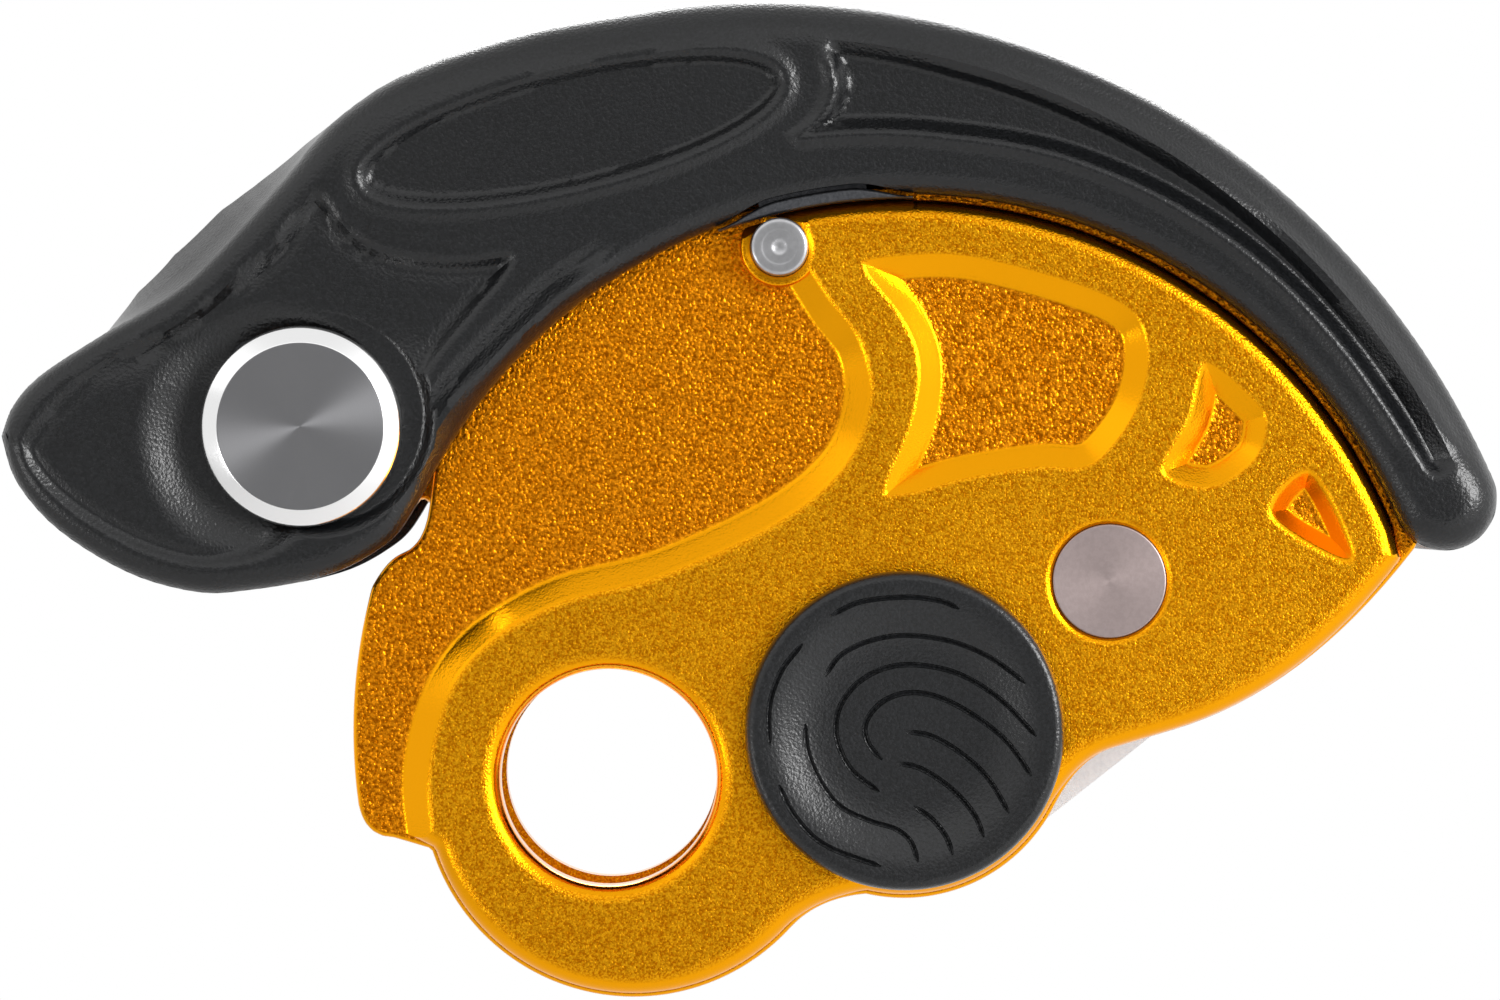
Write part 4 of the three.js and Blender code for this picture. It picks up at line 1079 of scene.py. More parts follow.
    def pieces(self) -> Iterator[Piece]:
        """Pieces on the pivot."""
        at, gap, floor = self.layout, self.layout.gap, self.well_floor
        drum_front = -at.channel + gap + self.washer_thick + gap
        bore = self.post_r + gap
        retainer_front = floor - gap - self.retainer_thick
        retainer_r = self.well_r - gap - self.cap_plug_wall - gap
        steel = turned_steel("turned steel of the pivot", at.pivot)
        drum = self.drum(drum_front, at.channel - gap)
        washer = sleeve(at.pivot, bore, self.drum_r, -at.channel + gap, drum_front - gap)
        bush = sleeve(at.pivot, bore, bore + self.bush_wall, floor, -at.channel)
        retainer = sleeve(at.pivot, self.neck_r + gap, retainer_r, retainer_front, floor - gap)
        yield Piece(self.post(), "pivot_post", Body.REAR, "turned_steel", steel)
        yield Piece(drum, "rope_drum", Body.REAR, "turned_steel", steel)
        yield Piece(washer, "drum_washer", Body.SWING, "bronze", BRONZE)
        yield Piece(bush, "plate_bush", Body.SWING, "bronze", BRONZE)
        yield Piece(retainer, "retaining_washer", Body.SWING, "dark_steel", DARK_STEEL)
        yield Piece(self.clip(retainer_front - gap - self.retainer_thick), "retaining_clip", Body.REAR,
                    "spring_steel", SPRING)
        yield Piece(self.cap(), "thumb_cap", Body.SWING, "moulded", CAP)


# Rope pin, stop stud, brake shoe and rope guide


@dataclass
class RopeStops(SubAssembly):
    """Rope pin and stop stud of the front plate."""

    pin_r: float = 4.3
    collar: float = 0.6
    guide_thick: float = 0.9
    stud_r: float = 2.2
    stud_rise: float = 1.7

    def rope_pin(self) -> Solid:
        """Round pin that presses the rope, with a collar behind the plate."""
        at = self.layout
        back = at.channel - at.gap - self.guide_thick - at.gap
        inside = -at.channel + at.gap
        corners = [(0, -at.land_y, 0), (self.pin_r, -at.land_y, 0.15), (self.pin_r, inside, 0),
                   (self.pin_r + self.collar, inside, 0.1), (self.pin_r + self.collar, inside + self.collar, 0.2),
                   (self.pin_r, inside + 2 * self.collar, 0.2), (self.pin_r, back, 0.4), (0, back, 0)]
        return Solid.turned(at.rope_pin, eased(corners, 5))

    def stop_stud(self) -> Solid:
        """Stud with a bright rim and a small dimple."""
        at = self.layout
        top = -at.land_y - self.stud_rise
        corners = [(0, top + 0.14, 0), (0.35, top + 0.1, 0.2), (0.62, top + 0.02, 0.1), (1.25, top + 0.02, 0.1),
                   (1.4, top, 0.05), (self.stud_r, top, 0.42), (self.stud_r, -at.channel, 0.1),
                   (0, -at.channel, 0)]
        return Solid.turned(at.stud, eased(corners, 6))

    def pieces(self) -> Iterator[Piece]:
        """Both pins."""
        at = self.layout
        pin = turned_steel("steel of the rope pin", at.rope_pin, (178, 162, 160), (0.4, 0.5), 0.003, 0.3)
        stud = turned_steel("steel of the stud", at.stud, (200, 200, 202), (0.22, 0.34), 0.003, 0.4)
        yield Piece(self.rope_pin(), "rope_pin", Body.SWING, "plain_steel", pin)
        yield Piece(self.stop_stud(), "stop_stud", Body.SWING, "turned_steel", stud)


@dataclass
class Brake(SubAssembly):
    """Shoe that the rope is pressed on, its rivets, and the guide plate at the entrance."""

    inner_r: float = 28.6
    span: Point = (68.0, 109.0)
    rim: float = 0.6
    rivet_r: float = 2.0
    rivet_head_r: float = 3.2
    rivet_head_thick: float = 1.2
    rivet_inset: float = 1.4
    guide_inner: float = 8.6
    guide_wide: float = 14.0
    guide_thick: float = 0.9
    guide_span: Point = (-52.0, 8.0)

    def rivet_places(self) -> list[Point]:
        """Places of the lower and the upper rivet."""
        middle = (self.inner_r + self.layout.plate_r) / 2
        quarter = (self.span[1] - self.span[0]) / 4
        return [polar(self.layout.pivot, middle, turn) for turn in (self.span[0] + quarter, self.span[1] - quarter)]

    def shoe(self) -> Solid:
        """Curved block with rounded rims."""
        at = self.layout
        half = at.channel - at.gap
        outline = arc_band(at.pivot, self.inner_r, at.plate_r - self.rim, *self.span)
        body = Solid.slab(spaced(outline, 0.45), -half, half, round_rim(self.rim, 4), round_rim(self.rim, 4))
        holes = [Solid.bar(place, self.rivet_r + at.gap, -half - OVERRUN, half + OVERRUN)
                 for place in self.rivet_places()]
        return body.combine(Cut.CARVE, *holes)

    def rivet(self, place: Point) -> Solid:
        """Rivet with a domed head behind."""
        at = self.layout
        head = at.land_y + at.gap
        corners = [(0, -at.channel + at.gap + self.rivet_inset, 0),
                   (self.rivet_r, -at.channel + at.gap + self.rivet_inset, 0.2), (self.rivet_r, head, 0),
                   (self.rivet_head_r, head, 0.1), (self.rivet_head_r, head + self.rivet_head_thick, 0.8),
                   (0, head + self.rivet_head_thick, 0)]
        return Solid.turned(place, eased(corners, 6))

    def guide(self) -> Solid:
        """Thin wear plate against the rear plate."""
        at = self.layout
        band = arc_band(at.pivot, self.guide_inner, self.guide_inner + self.guide_wide, *self.guide_span)
        back = at.channel - at.gap
        plate = Solid.slab(SidePlates().outline(False), 0, at.recess_y)
        return Solid.slab(spaced(band, 0.4), back - self.guide_thick, back, round_rim(0.2, 3)).combine(Cut.KEEP, plate)

    def pieces(self) -> Iterator[Piece]:
        """The shoe, its rivets and the guide."""
        yield Piece(self.shoe(), "brake_shoe", Body.REAR, "plain_steel", PLAIN_STEEL)
        for name, place in zip(("lower", "upper"), self.rivet_places()):
            yield Piece(self.rivet(place), f"shoe_rivet_{name}", Body.REAR, "turned_steel",
                        turned_steel(f"steel of the {name} rivet", place))
        yield Piece(self.guide(), "rope_guide", Body.REAR, "turned_steel", BLASTED_STEEL)


# Handle


@dataclass
class HandleShape:
    """Silhouette and surface relief of the handle."""

    layout: Layout = LAYOUT
    tip_turn: float = 23.2
    crown_turn: float = 98.0
    radial_to: float = 105.0
    inner_to: float = 153.5
    cheek_round: float = 1.8
    crown_round: float = 3.6
    nose_tip: Point = (-45.9, 25.9)
    nose_lower: tuple[Point, ...] = (
        (-15.8, 18.7), (-17.7, 17.1), (-20.3, 15.7), (-23.4, 14.8), (-27.2, 14.2), (-30.6, 14.0), (-34.7, 14.9),
        (-38.2, 16.5), (-41.5, 18.7), (-43.7, 20.9), (-45.1, 23.1), (-45.9, 25.9),
    )
    nose_upper: tuple[Point, ...] = (
        (-4.4, 56.9), (-10.0, 55.3), (-13.4, 54.1), (-17.05, 52.4), (-20.4, 50.0), (-22.2, 48.2), (-24.4, 45.5),
        (-28.0, 41.5),
        (-31.6, 37.8), (-35.2, 35.3), (-38.3, 33.5), (-42.9, 30.5), (-45.0, 28.2), (-45.9, 25.9),
    )
    pairs: tuple[tuple[Point, Point], ...] = (
        ((2.1, 38.8), (-10.0, 55.3)), ((-6.3, 32.3), (-20.4, 50.0)), ((-12.8, 23.9), (-30.0, 39.3)),
        ((-17.7, 17.1), (-36.5, 34.5)), ((-23.4, 14.8), (-40.5, 32.2)), ((-30.6, 14.0), (-43.5, 29.9)),
        ((-38.2, 16.5), (-45.2, 27.8)),
    )
    bulge_steps: tuple[tuple[float, float], ...] = (
        (-38.6, 0.0), (-36.8, 0.9), (-35.0, 1.8), (-31.6, 2.6), (-28.0, 2.4), (-24.4, 1.3), (-21.6, 0.4), (-19.6, 0.0),
    )

    def reach(self, turn: float) -> float:
        """Distance from the pivot to the outer bow in a direction."""
        x, z = self.layout.bow[0] - self.layout.pivot[0], self.layout.bow[1] - self.layout.pivot[1]
        way = math.radians(turn)
        along = x * math.cos(way) + z * math.sin(way)
        return along + math.sqrt(self.layout.bow_r**2 - x * x - z * z + along * along)

    def tip(self) -> tuple[np.ndarray, np.ndarray]:
        """Matching points round the arm's tip, from its end to the straight part."""
        pivot, turn = self.layout.pivot, self.tip_turn
        radius = (self.reach(turn) - self.layout.cheek_r) / 2
        middle = np.array(polar(pivot, self.layout.cheek_r + radius, turn))
        out = np.array(polar((0, 0), 1, turn))
        back = np.array(polar((0, 0), 1, turn - 90))
        angles = np.linspace(0, math.pi / 2, 26)[:-1]
        inner = [middle - out * radius * math.sin(a) + back * radius * math.cos(a) for a in angles]
        outer = [middle + out * radius * math.sin(a) + back * radius * math.cos(a) for a in angles]
        return np.array(inner), np.array(outer)

    def stations(self) -> tuple[np.ndarray, np.ndarray]:
        """Matching points of the inner and outer edges, from the arm's tip to the nose."""
        at = self.layout
        tip_in, tip_out = self.tip()
        turns = np.linspace(self.tip_turn, self.radial_to, 190)
        arm_in = np.array([polar(at.pivot, at.cheek_r, turn) for turn in turns])
        arm_out = np.array([polar(at.pivot, self.reach(turn), turn) for turn in turns])
        inner = arc(at.pivot, at.cheek_r, self.radial_to, self.inner_to, 0.2)
        inner += through([inner[-1], *self.nose_lower], 14)[1:]
        start = arm_out[-1]
        begin = math.degrees(math.atan2(start[1] - at.bow[1], start[0] - at.bow[0]))
        outer = arc(at.bow, at.bow_r, begin, self.crown_turn, 0.2)
        outer += through([outer[-1], *self.nose_upper], 14)[1:]
        inner_line, outer_line = np.array(inner), np.array(outer)
        inner_run, outer_run = (self.run(line) for line in (inner_line, outer_line))
        keys = [(0.0, 0.0)] + [(self.place_on(inner_line, a), self.place_on(outer_line, b)) for a, b in self.pairs]
        keys.append((inner_run[-1], outer_run[-1]))
        knots = np.array(keys)
        share = np.linspace(0, 1, 200)[1:]
        inner_at = share * inner_run[-1]
        smooth = self.smooth_match(knots, inner_at)
        nose_in = np.stack([np.interp(inner_at, inner_run, inner_line[:, k]) for k in (0, 1)], 1)
        nose_out = np.stack([np.interp(smooth, outer_run, outer_line[:, k]) for k in (0, 1)], 1)
        return np.vstack([tip_in, arm_in, nose_in]), np.vstack([tip_out, arm_out, nose_out])

    @staticmethod
    def run(line: np.ndarray) -> np.ndarray:
        """Length along a line at each of its points."""
        return np.concatenate([[0.0], np.cumsum(np.linalg.norm(np.diff(line, axis=0), axis=1))])

    def place_on(self, line: np.ndarray, spot: Point) -> float:
        """Length along a line at its nearest point."""
        return float(self.run(line)[int(np.argmin(np.linalg.norm(line - np.array(spot), axis=1)))])

    @staticmethod
    def smooth_match(knots: np.ndarray, wanted: np.ndarray) -> np.ndarray:
        """Matching lengths between knots, with soft changes of pace."""
        fine = np.linspace(0, knots[-1, 0], 800)
        rough = np.interp(fine, knots[:, 0], knots[:, 1])
        width = 41
        padded = np.pad(rough, width // 2, mode="reflect", reflect_type="odd")
        soft = np.convolve(padded, np.ones(width) / width, mode="valid")
        return np.interp(wanted, fine, soft)

    def bulge(self, places: np.ndarray) -> np.ndarray:
        """How far the crown bulges beyond the cheeks at places of the outer edge."""
        steps = np.array(self.bulge_steps)
        amount = np.interp(places[:, 0], steps[:, 0], steps[:, 1])
        return np.where(places[:, 1] > 30.0, amount, 0.0)


def soft(value: np.ndarray) -> np.ndarray:
    """Smooth rise from 0 to 1."""
    share = np.clip(value, 0, 1)
    return share * share * (3 - 2 * share)


def signed_distance(places: np.ndarray, outline: list[Point]) -> np.ndarray:
    """Distance inside an outline, negative outside it."""
    line = np.array(outline)
    span = np.roll(line, -1, 0) - line
    found = np.empty(len(places))
    for start in range(0, len(places), 4000):
        block = places[start:start + 4000]
        off = block[:, None] - line[None]
        along = np.clip(np.sum(off * span[None], 2) / np.sum(span**2, 1), 0, 1)
        near = np.linalg.norm(off - along[..., None] * span[None], axis=2).min(1)
        above = (line[None, :, 1] > block[:, None, 1]) != (np.roll(line, -1, 0)[None, :, 1] > block[:, None, 1])
        cross = line[None, :, 0] + span[None, :, 0] * (block[:, None, 1] - line[None, :, 1]) / np.where(
            span[:, 1] == 0, 1e-9, span[:, 1])[None]
        inside = np.sum(above & (block[:, None, 0] < cross), axis=1) % 2 == 1
        found[start:start + 4000] = np.where(inside, near, -near)
    return found


def line_distance(places: np.ndarray, points: list[Point]) -> np.ndarray:
    """Distance to an open line."""
    line = np.array(points)
    start, span = line[:-1], np.diff(line, axis=0)
    off = places[:, None] - start[None]
    along = np.clip(np.sum(off * span[None], 2) / np.sum(span**2, 1), 0, 1)
    return np.linalg.norm(off - along[..., None] * span[None], axis=2).min(1)


@dataclass
class HandleRelief:
    """Height of the moulded details over the face of a cheek."""

    layout: Layout = LAYOUT
    arm_turns: tuple[float, ...] = (27.0, 35.0, 45.0, 55.0, 65.0, 75.0, 85.0, 100.0)
    arm_inner: tuple[float, ...] = (44.0, 44.0, 44.3, 44.7, 45.0, 45.3, 45.3, 45.9)
    arm_outer: tuple[float, ...] = (46.2, 46.2, 46.4, 47.0, 47.8, 48.8, 50.2, 53.0)
    arm_depth: float = 1.05
    arm_wall: float = 1.45
    crescent: tuple[Point, ...] = ((15.2, 57.6), (16.3, 55.8), (17.3, 53.4), (17.4, 51.7), (16.5, 49.9), (14.5, 48.4))
    oval_centre: Point = (-2.8, 49.0)
    oval_half: Point = (16.3, 4.3)
    oval_tilt: float = 13.5
    oval_depth: float = 0.65
    face_line: tuple[Point, ...] = (
        (-22.4, 43.9), (-25.1, 40.1), (-27.7, 37.9), (-30.3, 35.8), (-33.2, 33.7), (-37.4, 31.9), (-40.8, 29.5),
        (-43.2, 26.8), (-44.2, 24.9), (-43.0, 22.7), (-41.0, 20.7), (-38.0, 18.7), (-34.6, 17.1), (-30.8, 16.2),
        (-26.5, 16.7), (-22.5, 19.0), (-17.6, 22.5), (-15.3, 26.0), (-14.2, 29.6), (-12.6, 32.4), (-10.1, 35.4),
        (-7.1, 39.3), (-10.5, 39.0), (-14.0, 39.1), (-17.2, 39.8), (-19.8, 41.4), (-21.3, 43.4),
    )
    dish_centre: Point = (-25.5, 26.0)
    dish_span: Point = (10.4, 6.4)
    pad_depth: float = 0.3
    dish_depth: float = 1.05
    crease: tuple[Point, ...] = (
        (-15.6, 24.6), (-15.0, 25.8), (-13.2, 28.3), (-10.7, 31.1), (-8.0, 33.9), (-4.7, 37.0), (0.5, 40.6),
    )

    def height(self, places: np.ndarray, with_oval: bool) -> np.ndarray:
        """Height over the flat cheek at places of the front view."""
        total = self.arm(places) + self.nose(places)
        return total + self.oval(places) if with_oval else total

    def arm(self, places: np.ndarray) -> np.ndarray:
        """Long panel along the arm, the bead inside it and the ridge outside it."""
        off = places - np.array(self.layout.pivot)
        radius, turn = np.linalg.norm(off, axis=1), np.degrees(np.arctan2(off[:, 1], off[:, 0]))
        inner = np.interp(turn, self.arm_turns, self.arm_inner)
        outer = np.interp(turn, self.arm_turns, self.arm_outer)
        tip = np.array(polar(self.layout.pivot, (self.arm_inner[0] + self.arm_outer[0]) / 2, self.arm_turns[0]))
        tip_r = (self.arm_outer[0] - self.arm_inner[0]) / 2
        into = np.minimum(radius - inner, outer - radius)
        end = tip_r - np.linalg.norm(places - tip, axis=1)
        into = np.where(turn < self.arm_turns[0], end, into)
        left = np.where(places[:, 0] > 0, self.right_of_crescent(places), -9.0)
        on = (turn > 15) & (turn < 112)
        panel = soft(np.minimum((into + 0.35) / self.arm_wall, (left + 0.2) / 1.05)) * on
        beyond = radius - outer
        valley = np.exp(-(((beyond - 1.5) / 0.75) ** 2)) * soft((turn - 24) / 4) * soft((92 - turn) / 18)
        crest = np.exp(-((beyond / 0.7) ** 2)) * soft((turn - 26) / 4) * soft((100 - turn) / 14)
        bead = np.exp(-(((inner - radius - 0.55) / 0.6) ** 2)) * soft((turn - 27) / 5) * soft((left + 0.9) / 1.2)
        edge = np.exp(-(((left + 0.55) / 0.6) ** 2)) * soft((radius - inner + 1.0) / 1.5) * soft((outer - radius) / 2)
        return on * (-self.arm_depth * panel - 0.5 * valley + 0.32 * crest + 0.36 * bead + 0.38 * edge)

    def right_of_crescent(self, places: np.ndarray) -> np.ndarray:
        """Distance to the right of the crescent-shaped wall."""
        wall = np.array(through(list(self.crescent), 8))[::-1]
        return places[:, 0] - np.interp(places[:, 1], wall[:, 1], wall[:, 0])

    def oval(self, places: np.ndarray) -> np.ndarray:
        """Sunk oval with a fine bead round it."""
        tilt = math.radians(self.oval_tilt)
        off = places - np.array(self.oval_centre)
        along = (off[:, 0] * math.cos(tilt) + off[:, 1] * math.sin(tilt)) / self.oval_half[0]
        across = (-off[:, 0] * math.sin(tilt) + off[:, 1] * math.cos(tilt)) / self.oval_half[1]
        share = np.sqrt(along**2 + across**2) + 1e-6
        steep = np.sqrt((along / self.oval_half[0]) ** 2 + (across / self.oval_half[1]) ** 2) / share
        into = (1 - share) / np.maximum(steep, 0.02)
        return -self.oval_depth * soft(into / 0.7) + 0.3 * np.exp(-(((into + 0.5) / 0.5) ** 2))

    def nose(self, places: np.ndarray) -> np.ndarray:
        """Sunk face of the nose with its finger dish, and the ridge along the inner edge."""
        found = np.zeros(len(places))
        near = places[:, 0] < 6.0
        spots = places[near]
        into = signed_distance(spots, spaced(through(list(self.face_line), 6, closed=True), 0.5))
        reach = np.linalg.norm(spots - np.array(self.dish_centre), axis=1)
        dish = soft((self.dish_span[0] - reach) / (self.dish_span[0] - self.dish_span[1]))
        deep = self.pad_depth + self.dish_depth * dish + 0.55 * soft((spots[:, 1] - 29.0) / 5.0)
        wall = 1.0 + 1.0 * dish
        groove = np.exp(-(((into - 0.5) / 0.6) ** 2)) * soft((-6.0 - spots[:, 0]) / 3)
        off = line_distance(spots, list(self.crease))
        beyond = line_distance(spots, [(x + 0.85, z - 0.85) for x, z in self.crease])
        fold = np.exp(-((off / 0.6) ** 2)) * soft((1.5 - spots[:, 0]) / 5)
        ridge = np.exp(-((beyond / 0.8) ** 2)) * soft((0.5 - into) / 1.4) * soft((1.5 - spots[:, 0]) / 5)
        found[near] = -deep * soft((into + 0.2) / wall) - 0.2 * groove - 0.5 * fold + 0.8 * ridge
        return found


@dataclass
class Handle(SubAssembly):
    """Moulded handle with its steel leaves and bearing rings."""

    shape: HandleShape = field(default_factory=HandleShape)
    relief: HandleRelief = field(default_factory=HandleRelief)
    face_steps: int = 56
    crown_steps: int = 10
    crown_in: float = 42.3
    crown_wall: float = 3.0
    rib_thick: float = 1.4
    rib_turns: tuple[float, ...] = (38, 50, 62, 74, 86)
    leaf_wide: float = 5.0
    leaf_thick: float = 1.2
    leaf_span: Point = (80.0, 148.0)
    leaf_eye_wall: float = 2.4
    eye_r: float = 7.4
    pin_r: float = 5.0
    lip_wide: float = 0.9
    lip_r: float = 40.25
    lip_rise: float = 2.4
    lip_span: Point = (89.0, 110.5)
    well_r: float = 7.8
    well_wall: float = 1.4
    well_depth: float = 0.9
    well_off: Point = (1.1, 0.7)
    hollow_line: tuple[Point, ...] = (
        (0.84, 1.25), (0.56, 1.12), (0.3, 0.96), (0.08, 0.78), (-0.1, 0.65), (-0.24, 0.5), (-0.38, 0.37),
        (-0.54, 0.24), (-0.72, 0.12), (-0.86, 0.0),
    )
    mouth_line: tuple[Point, ...] = ((-1.05, -0.12), (-0.95, -0.8), (0.2, -1.05), (1.0, -0.6))

    def blank(self) -> Solid:
        """Outer body of the handle, skinned over its stations."""
        inner, outer = self.shape.stations()
        half = self.layout.cheek_out
        bm = bmesh.new()
        rings = self.rings(inner, outer, half)
        edges, place = first_ring(bm, rings[0])
        for ring in rings[1:]:
            edges = extruded(bm, edges, place, ring)
        bmesh.ops.remove_doubles(bm, verts=bm.verts[:], dist=2e-4)
        bmesh.ops.dissolve_degenerate(bm, dist=1e-4, edges=bm.edges[:])
        return Solid.closed(bm, merge=0)

    def rings(self, inner: np.ndarray, outer: np.ndarray, half: float) -> list[list[tuple[float, float, float]]]:
        """Closed rings of places round the handle, one for each station."""
        length = np.linalg.norm(outer - inner, axis=1)
        small, large = self.shape.cheek_round, self.shape.crown_round
        shrink = np.minimum(1.0, 0.96 * length / (small + large))
        bow = [1 - math.cos(math.radians(a)) for a in range(0, 91, 15)]
        wide_bow = [1 - math.cos(math.radians(a)) for a in np.linspace(0, 90, 10)]
        shares = []
        for span, scale in zip(length, shrink):
            span = max(span, 1e-6)
            low = [small * scale * b / span for b in bow]
            high = [1 - large * scale * b / span for b in wide_bow][::-1]
            between = np.linspace(low[-1], high[0], self.face_steps)[1:-1].tolist()
            shares.append(low + between + high)
        share = np.array(shares)
        spots = inner[:, None] + (outer - inner)[:, None] * share[..., None]
        flat = spots.reshape(-1, 2)
        drop = self.edge_drop(flat, inner, outer).reshape(share.shape)
        front_height = self.relief.height(flat, True).reshape(share.shape)
        rear_height = self.relief.height(flat, False).reshape(share.shape)
        fade = soft(half - drop - 8.0)
        front = -(half - drop + front_height * fade)
        rear = half - drop + rear_height * fade
        along = np.gradient(outer, axis=0)
        along /= np.maximum(np.linalg.norm(along, axis=1, keepdims=True), 1e-9)
        outward = np.stack([along[:, 1], -along[:, 0]], 1)
        bulge = self.shape.bulge(outer)
        made = []
        for k in range(len(inner)):
            ring = [(x, y, z) for (x, z), y in zip(spots[k], front[k])]
            low, high = front[k][-1], rear[k][-1]
            for step in range(1, self.crown_steps):
                t = step / self.crown_steps
                swell = bulge[k] * soft(np.array(min(t, 1 - t) * 4.2))
                x, z = outer[k] + outward[k] * swell
                ring.append((x, low + (high - low) * t, z))
            ring += [(x, y, z) for (x, z), y in zip(spots[k][::-1], rear[k][::-1])]
            low, high = front[k][0], rear[k][0]
            for step in range(1, self.crown_steps):
                t = step / self.crown_steps
                ring.append((inner[k][0], high + (low - high) * t, inner[k][1]))
            made.append(ring)
        return made

    def edge_drop(self, flat: np.ndarray, inner: np.ndarray, outer: np.ndarray) -> np.ndarray:
        """How far the rounded rim lies below the cheek's face."""
        rows = []
        for line, radius in ((inner, self.shape.cheek_round), (outer, self.shape.crown_round)):
            run = self.shape.run(line)
            fine = np.arange(0, run[-1], 0.08)
            xs, zs = (np.interp(fine, run, line[:, k]) for k in (0, 1))
            if radius > self.shape.cheek_round:
                sizes = np.interp(xs, [-46, -30, -18, 2], [2.0, 1.9, 2.6, radius])
            else:
                sizes = np.full(len(xs), radius)
            blend = soft(fine / 12.0)
            first = (self.shape.cheek_round + self.shape.crown_round) / 2
            rows.append(np.stack([xs, zs, first + (sizes - first) * blend], 1))
        points = np.vstack(rows)
        tree = KDTree(len(points))
        for index, (x, z, _) in enumerate(points):
            tree.insert((x, z, 0), index)
        tree.balance()
        drop = np.zeros(len(flat))
        for index, (x, z) in enumerate(flat):
            _, nearest, distance = tree.find((x, z, 0))
            size = points[nearest][2]
            if distance < size:
                drop[index] = size - math.sqrt(max(size * size - (size - distance) ** 2, 0.0))
        return drop

    def on_nose(self, share: Point) -> Point:
        """Place given as a share of the nose's radius, from the handle pin."""
        pin = self.layout.pin
        return pin[0] + share[0] * self.layout.nose_r, pin[1] + share[1] * self.layout.nose_r

    def hollow(self) -> Solid:
        """Space between the cheeks, with the ribs of the arm left standing."""
        at, shape = self.layout, self.shape
        start = shape.tip_turn + self.crown_wall
        turns = np.linspace(start, 109.0, 120)
        line = [polar(at.pivot, self.crown_in - OVERRUN, start)]
        line += [polar(at.pivot, shape.reach(turn) - self.crown_wall, turn) for turn in turns]
        line += through([line[-1]] + [self.on_nose(share) for share in self.hollow_line], 10)[1:]
        line += [self.on_nose(share) for share in self.mouth_line]
        space = Solid.slab(spaced(line, 0.8), -at.cheek_in, at.cheek_in)
        ribs = []
        for turn in self.rib_turns:
            reach = shape.reach(turn)
            half = math.degrees(self.rib_thick / 2 / reach)
            ribs.append(Solid.slab(arc_band(at.pivot, self.crown_in, reach, turn - half, turn + half),
                                   -at.cheek_in - OVERRUN, at.cheek_in + OVERRUN))
        round_space = Solid.bar(at.pivot, self.crown_in, -at.cheek_in, at.cheek_in, 220)
        return space.combine(Cut.CARVE, *ribs).combine(Cut.JOIN, round_space)

    def leaf_body(self, grow: float, front: float, back: float, rim: Rim | None = None) -> Solid:
        """Steel leaf: an eye round the pin and a strip along the inner edge."""
        at = self.layout
        inner = at.cheek_r + self.lip_wide - grow
        outer = inner + self.leaf_wide + 2 * grow
        spare = math.degrees(grow / inner)
        strip = arc_band(at.pivot, inner, outer, self.leaf_span[0] - spare, self.leaf_span[1] + spare, 0.6)
        reach = self.eye_r + self.leaf_eye_wall + grow
        link = [polar(at.pin, reach, 110), polar(at.pin, reach, -20), polar(at.pivot, inner, 140),
                polar(at.pivot, outer, 128)]
        parts = [Solid.slab(line, front, back, rim) for line in (arc(at.pin, reach, 0, FULL_TURN)[:-1], link)]
        return Solid.slab(strip, front, back, rim).combine(Cut.JOIN, *parts)

    def shell(self) -> Solid:
        """Moulded shell with its hollow, pockets and wells."""
        at, gap = self.layout, self.layout.gap
        front = -at.cheek_in - self.leaf_thick - gap
        pocket = self.leaf_body(gap, front, -at.cheek_in + OVERRUN)
        lip = Solid.slab(self.lip_line(gap), -at.cheek_out - OVERRUN, -at.cheek_in + OVERRUN)
        face = -at.cheek_out
        steps = [(self.well_r + self.well_wall * (1 - i / 12) + 0.1 * i / 12,
                  face + self.well_depth * float(soft(np.array(i / 12)))) for i in range(13)]
        rim = self.well_r + self.well_wall
        middle = (at.pin[0] + self.well_off[0], at.pin[1] + self.well_off[1])
        dish = [(0, face - OVERRUN), (rim, face - OVERRUN), *steps, (0, face + self.well_depth)]
        well = Solid.turned(middle, dish, 128)
        eye = Solid.bar(at.pin, self.eye_r, face - OVERRUN, -face + OVERRUN)
        return self.blank().combine(Cut.CARVE, self.hollow(), pocket, pocket.flipped(), lip, well, well.flipped(), eye)

    def leaf(self) -> Solid:
        """Leaf in the front position."""
        front = -self.layout.cheek_in - self.leaf_thick
        hole = Solid.bar(self.layout.pin, self.eye_r, front - OVERRUN, OVERRUN)
        return self.leaf_body(0, front, -self.layout.cheek_in, round_rim(0.1, 2)).combine(Cut.CARVE, hole)

    def lip_line(self, grow: float) -> list[Point]:
        """Outline of the front leaf's rim, which thins out towards its ends."""
        at = self.layout
        wide = at.cheek_r + self.lip_wide - at.gap - self.lip_r
        spare = math.degrees(grow / self.lip_r)
        start, stop = self.lip_span[0] - spare, self.lip_span[1] + spare
        line = arc(at.pivot, self.lip_r - grow, start, stop, 0.3)
        for turn in np.linspace(stop, start, 60):
            near_end = min(turn - start, stop - turn)
            line.append(polar(at.pivot, self.lip_r + wide * (0.15 + 0.85 * float(soft(near_end / 7))) + grow, turn))
        return spaced(line, 0.22)

    def lip(self) -> Solid:
        """Folded rim of the front leaf that shows under the arm."""
        at = self.layout
        rim = Solid.slab(self.lip_line(0.0), -at.cheek_in - self.lip_rise, -at.cheek_in, round_rim(0.3, 6))
        foot = Solid.slab(arc_band(at.pivot, self.lip_r, at.cheek_r + self.lip_wide + 2 * at.gap,
                                   self.lip_span[0] + 5, self.lip_span[1] - 5),
                          -at.cheek_in - self.leaf_thick, -at.cheek_in)
        return rim.combine(Cut.JOIN, foot)

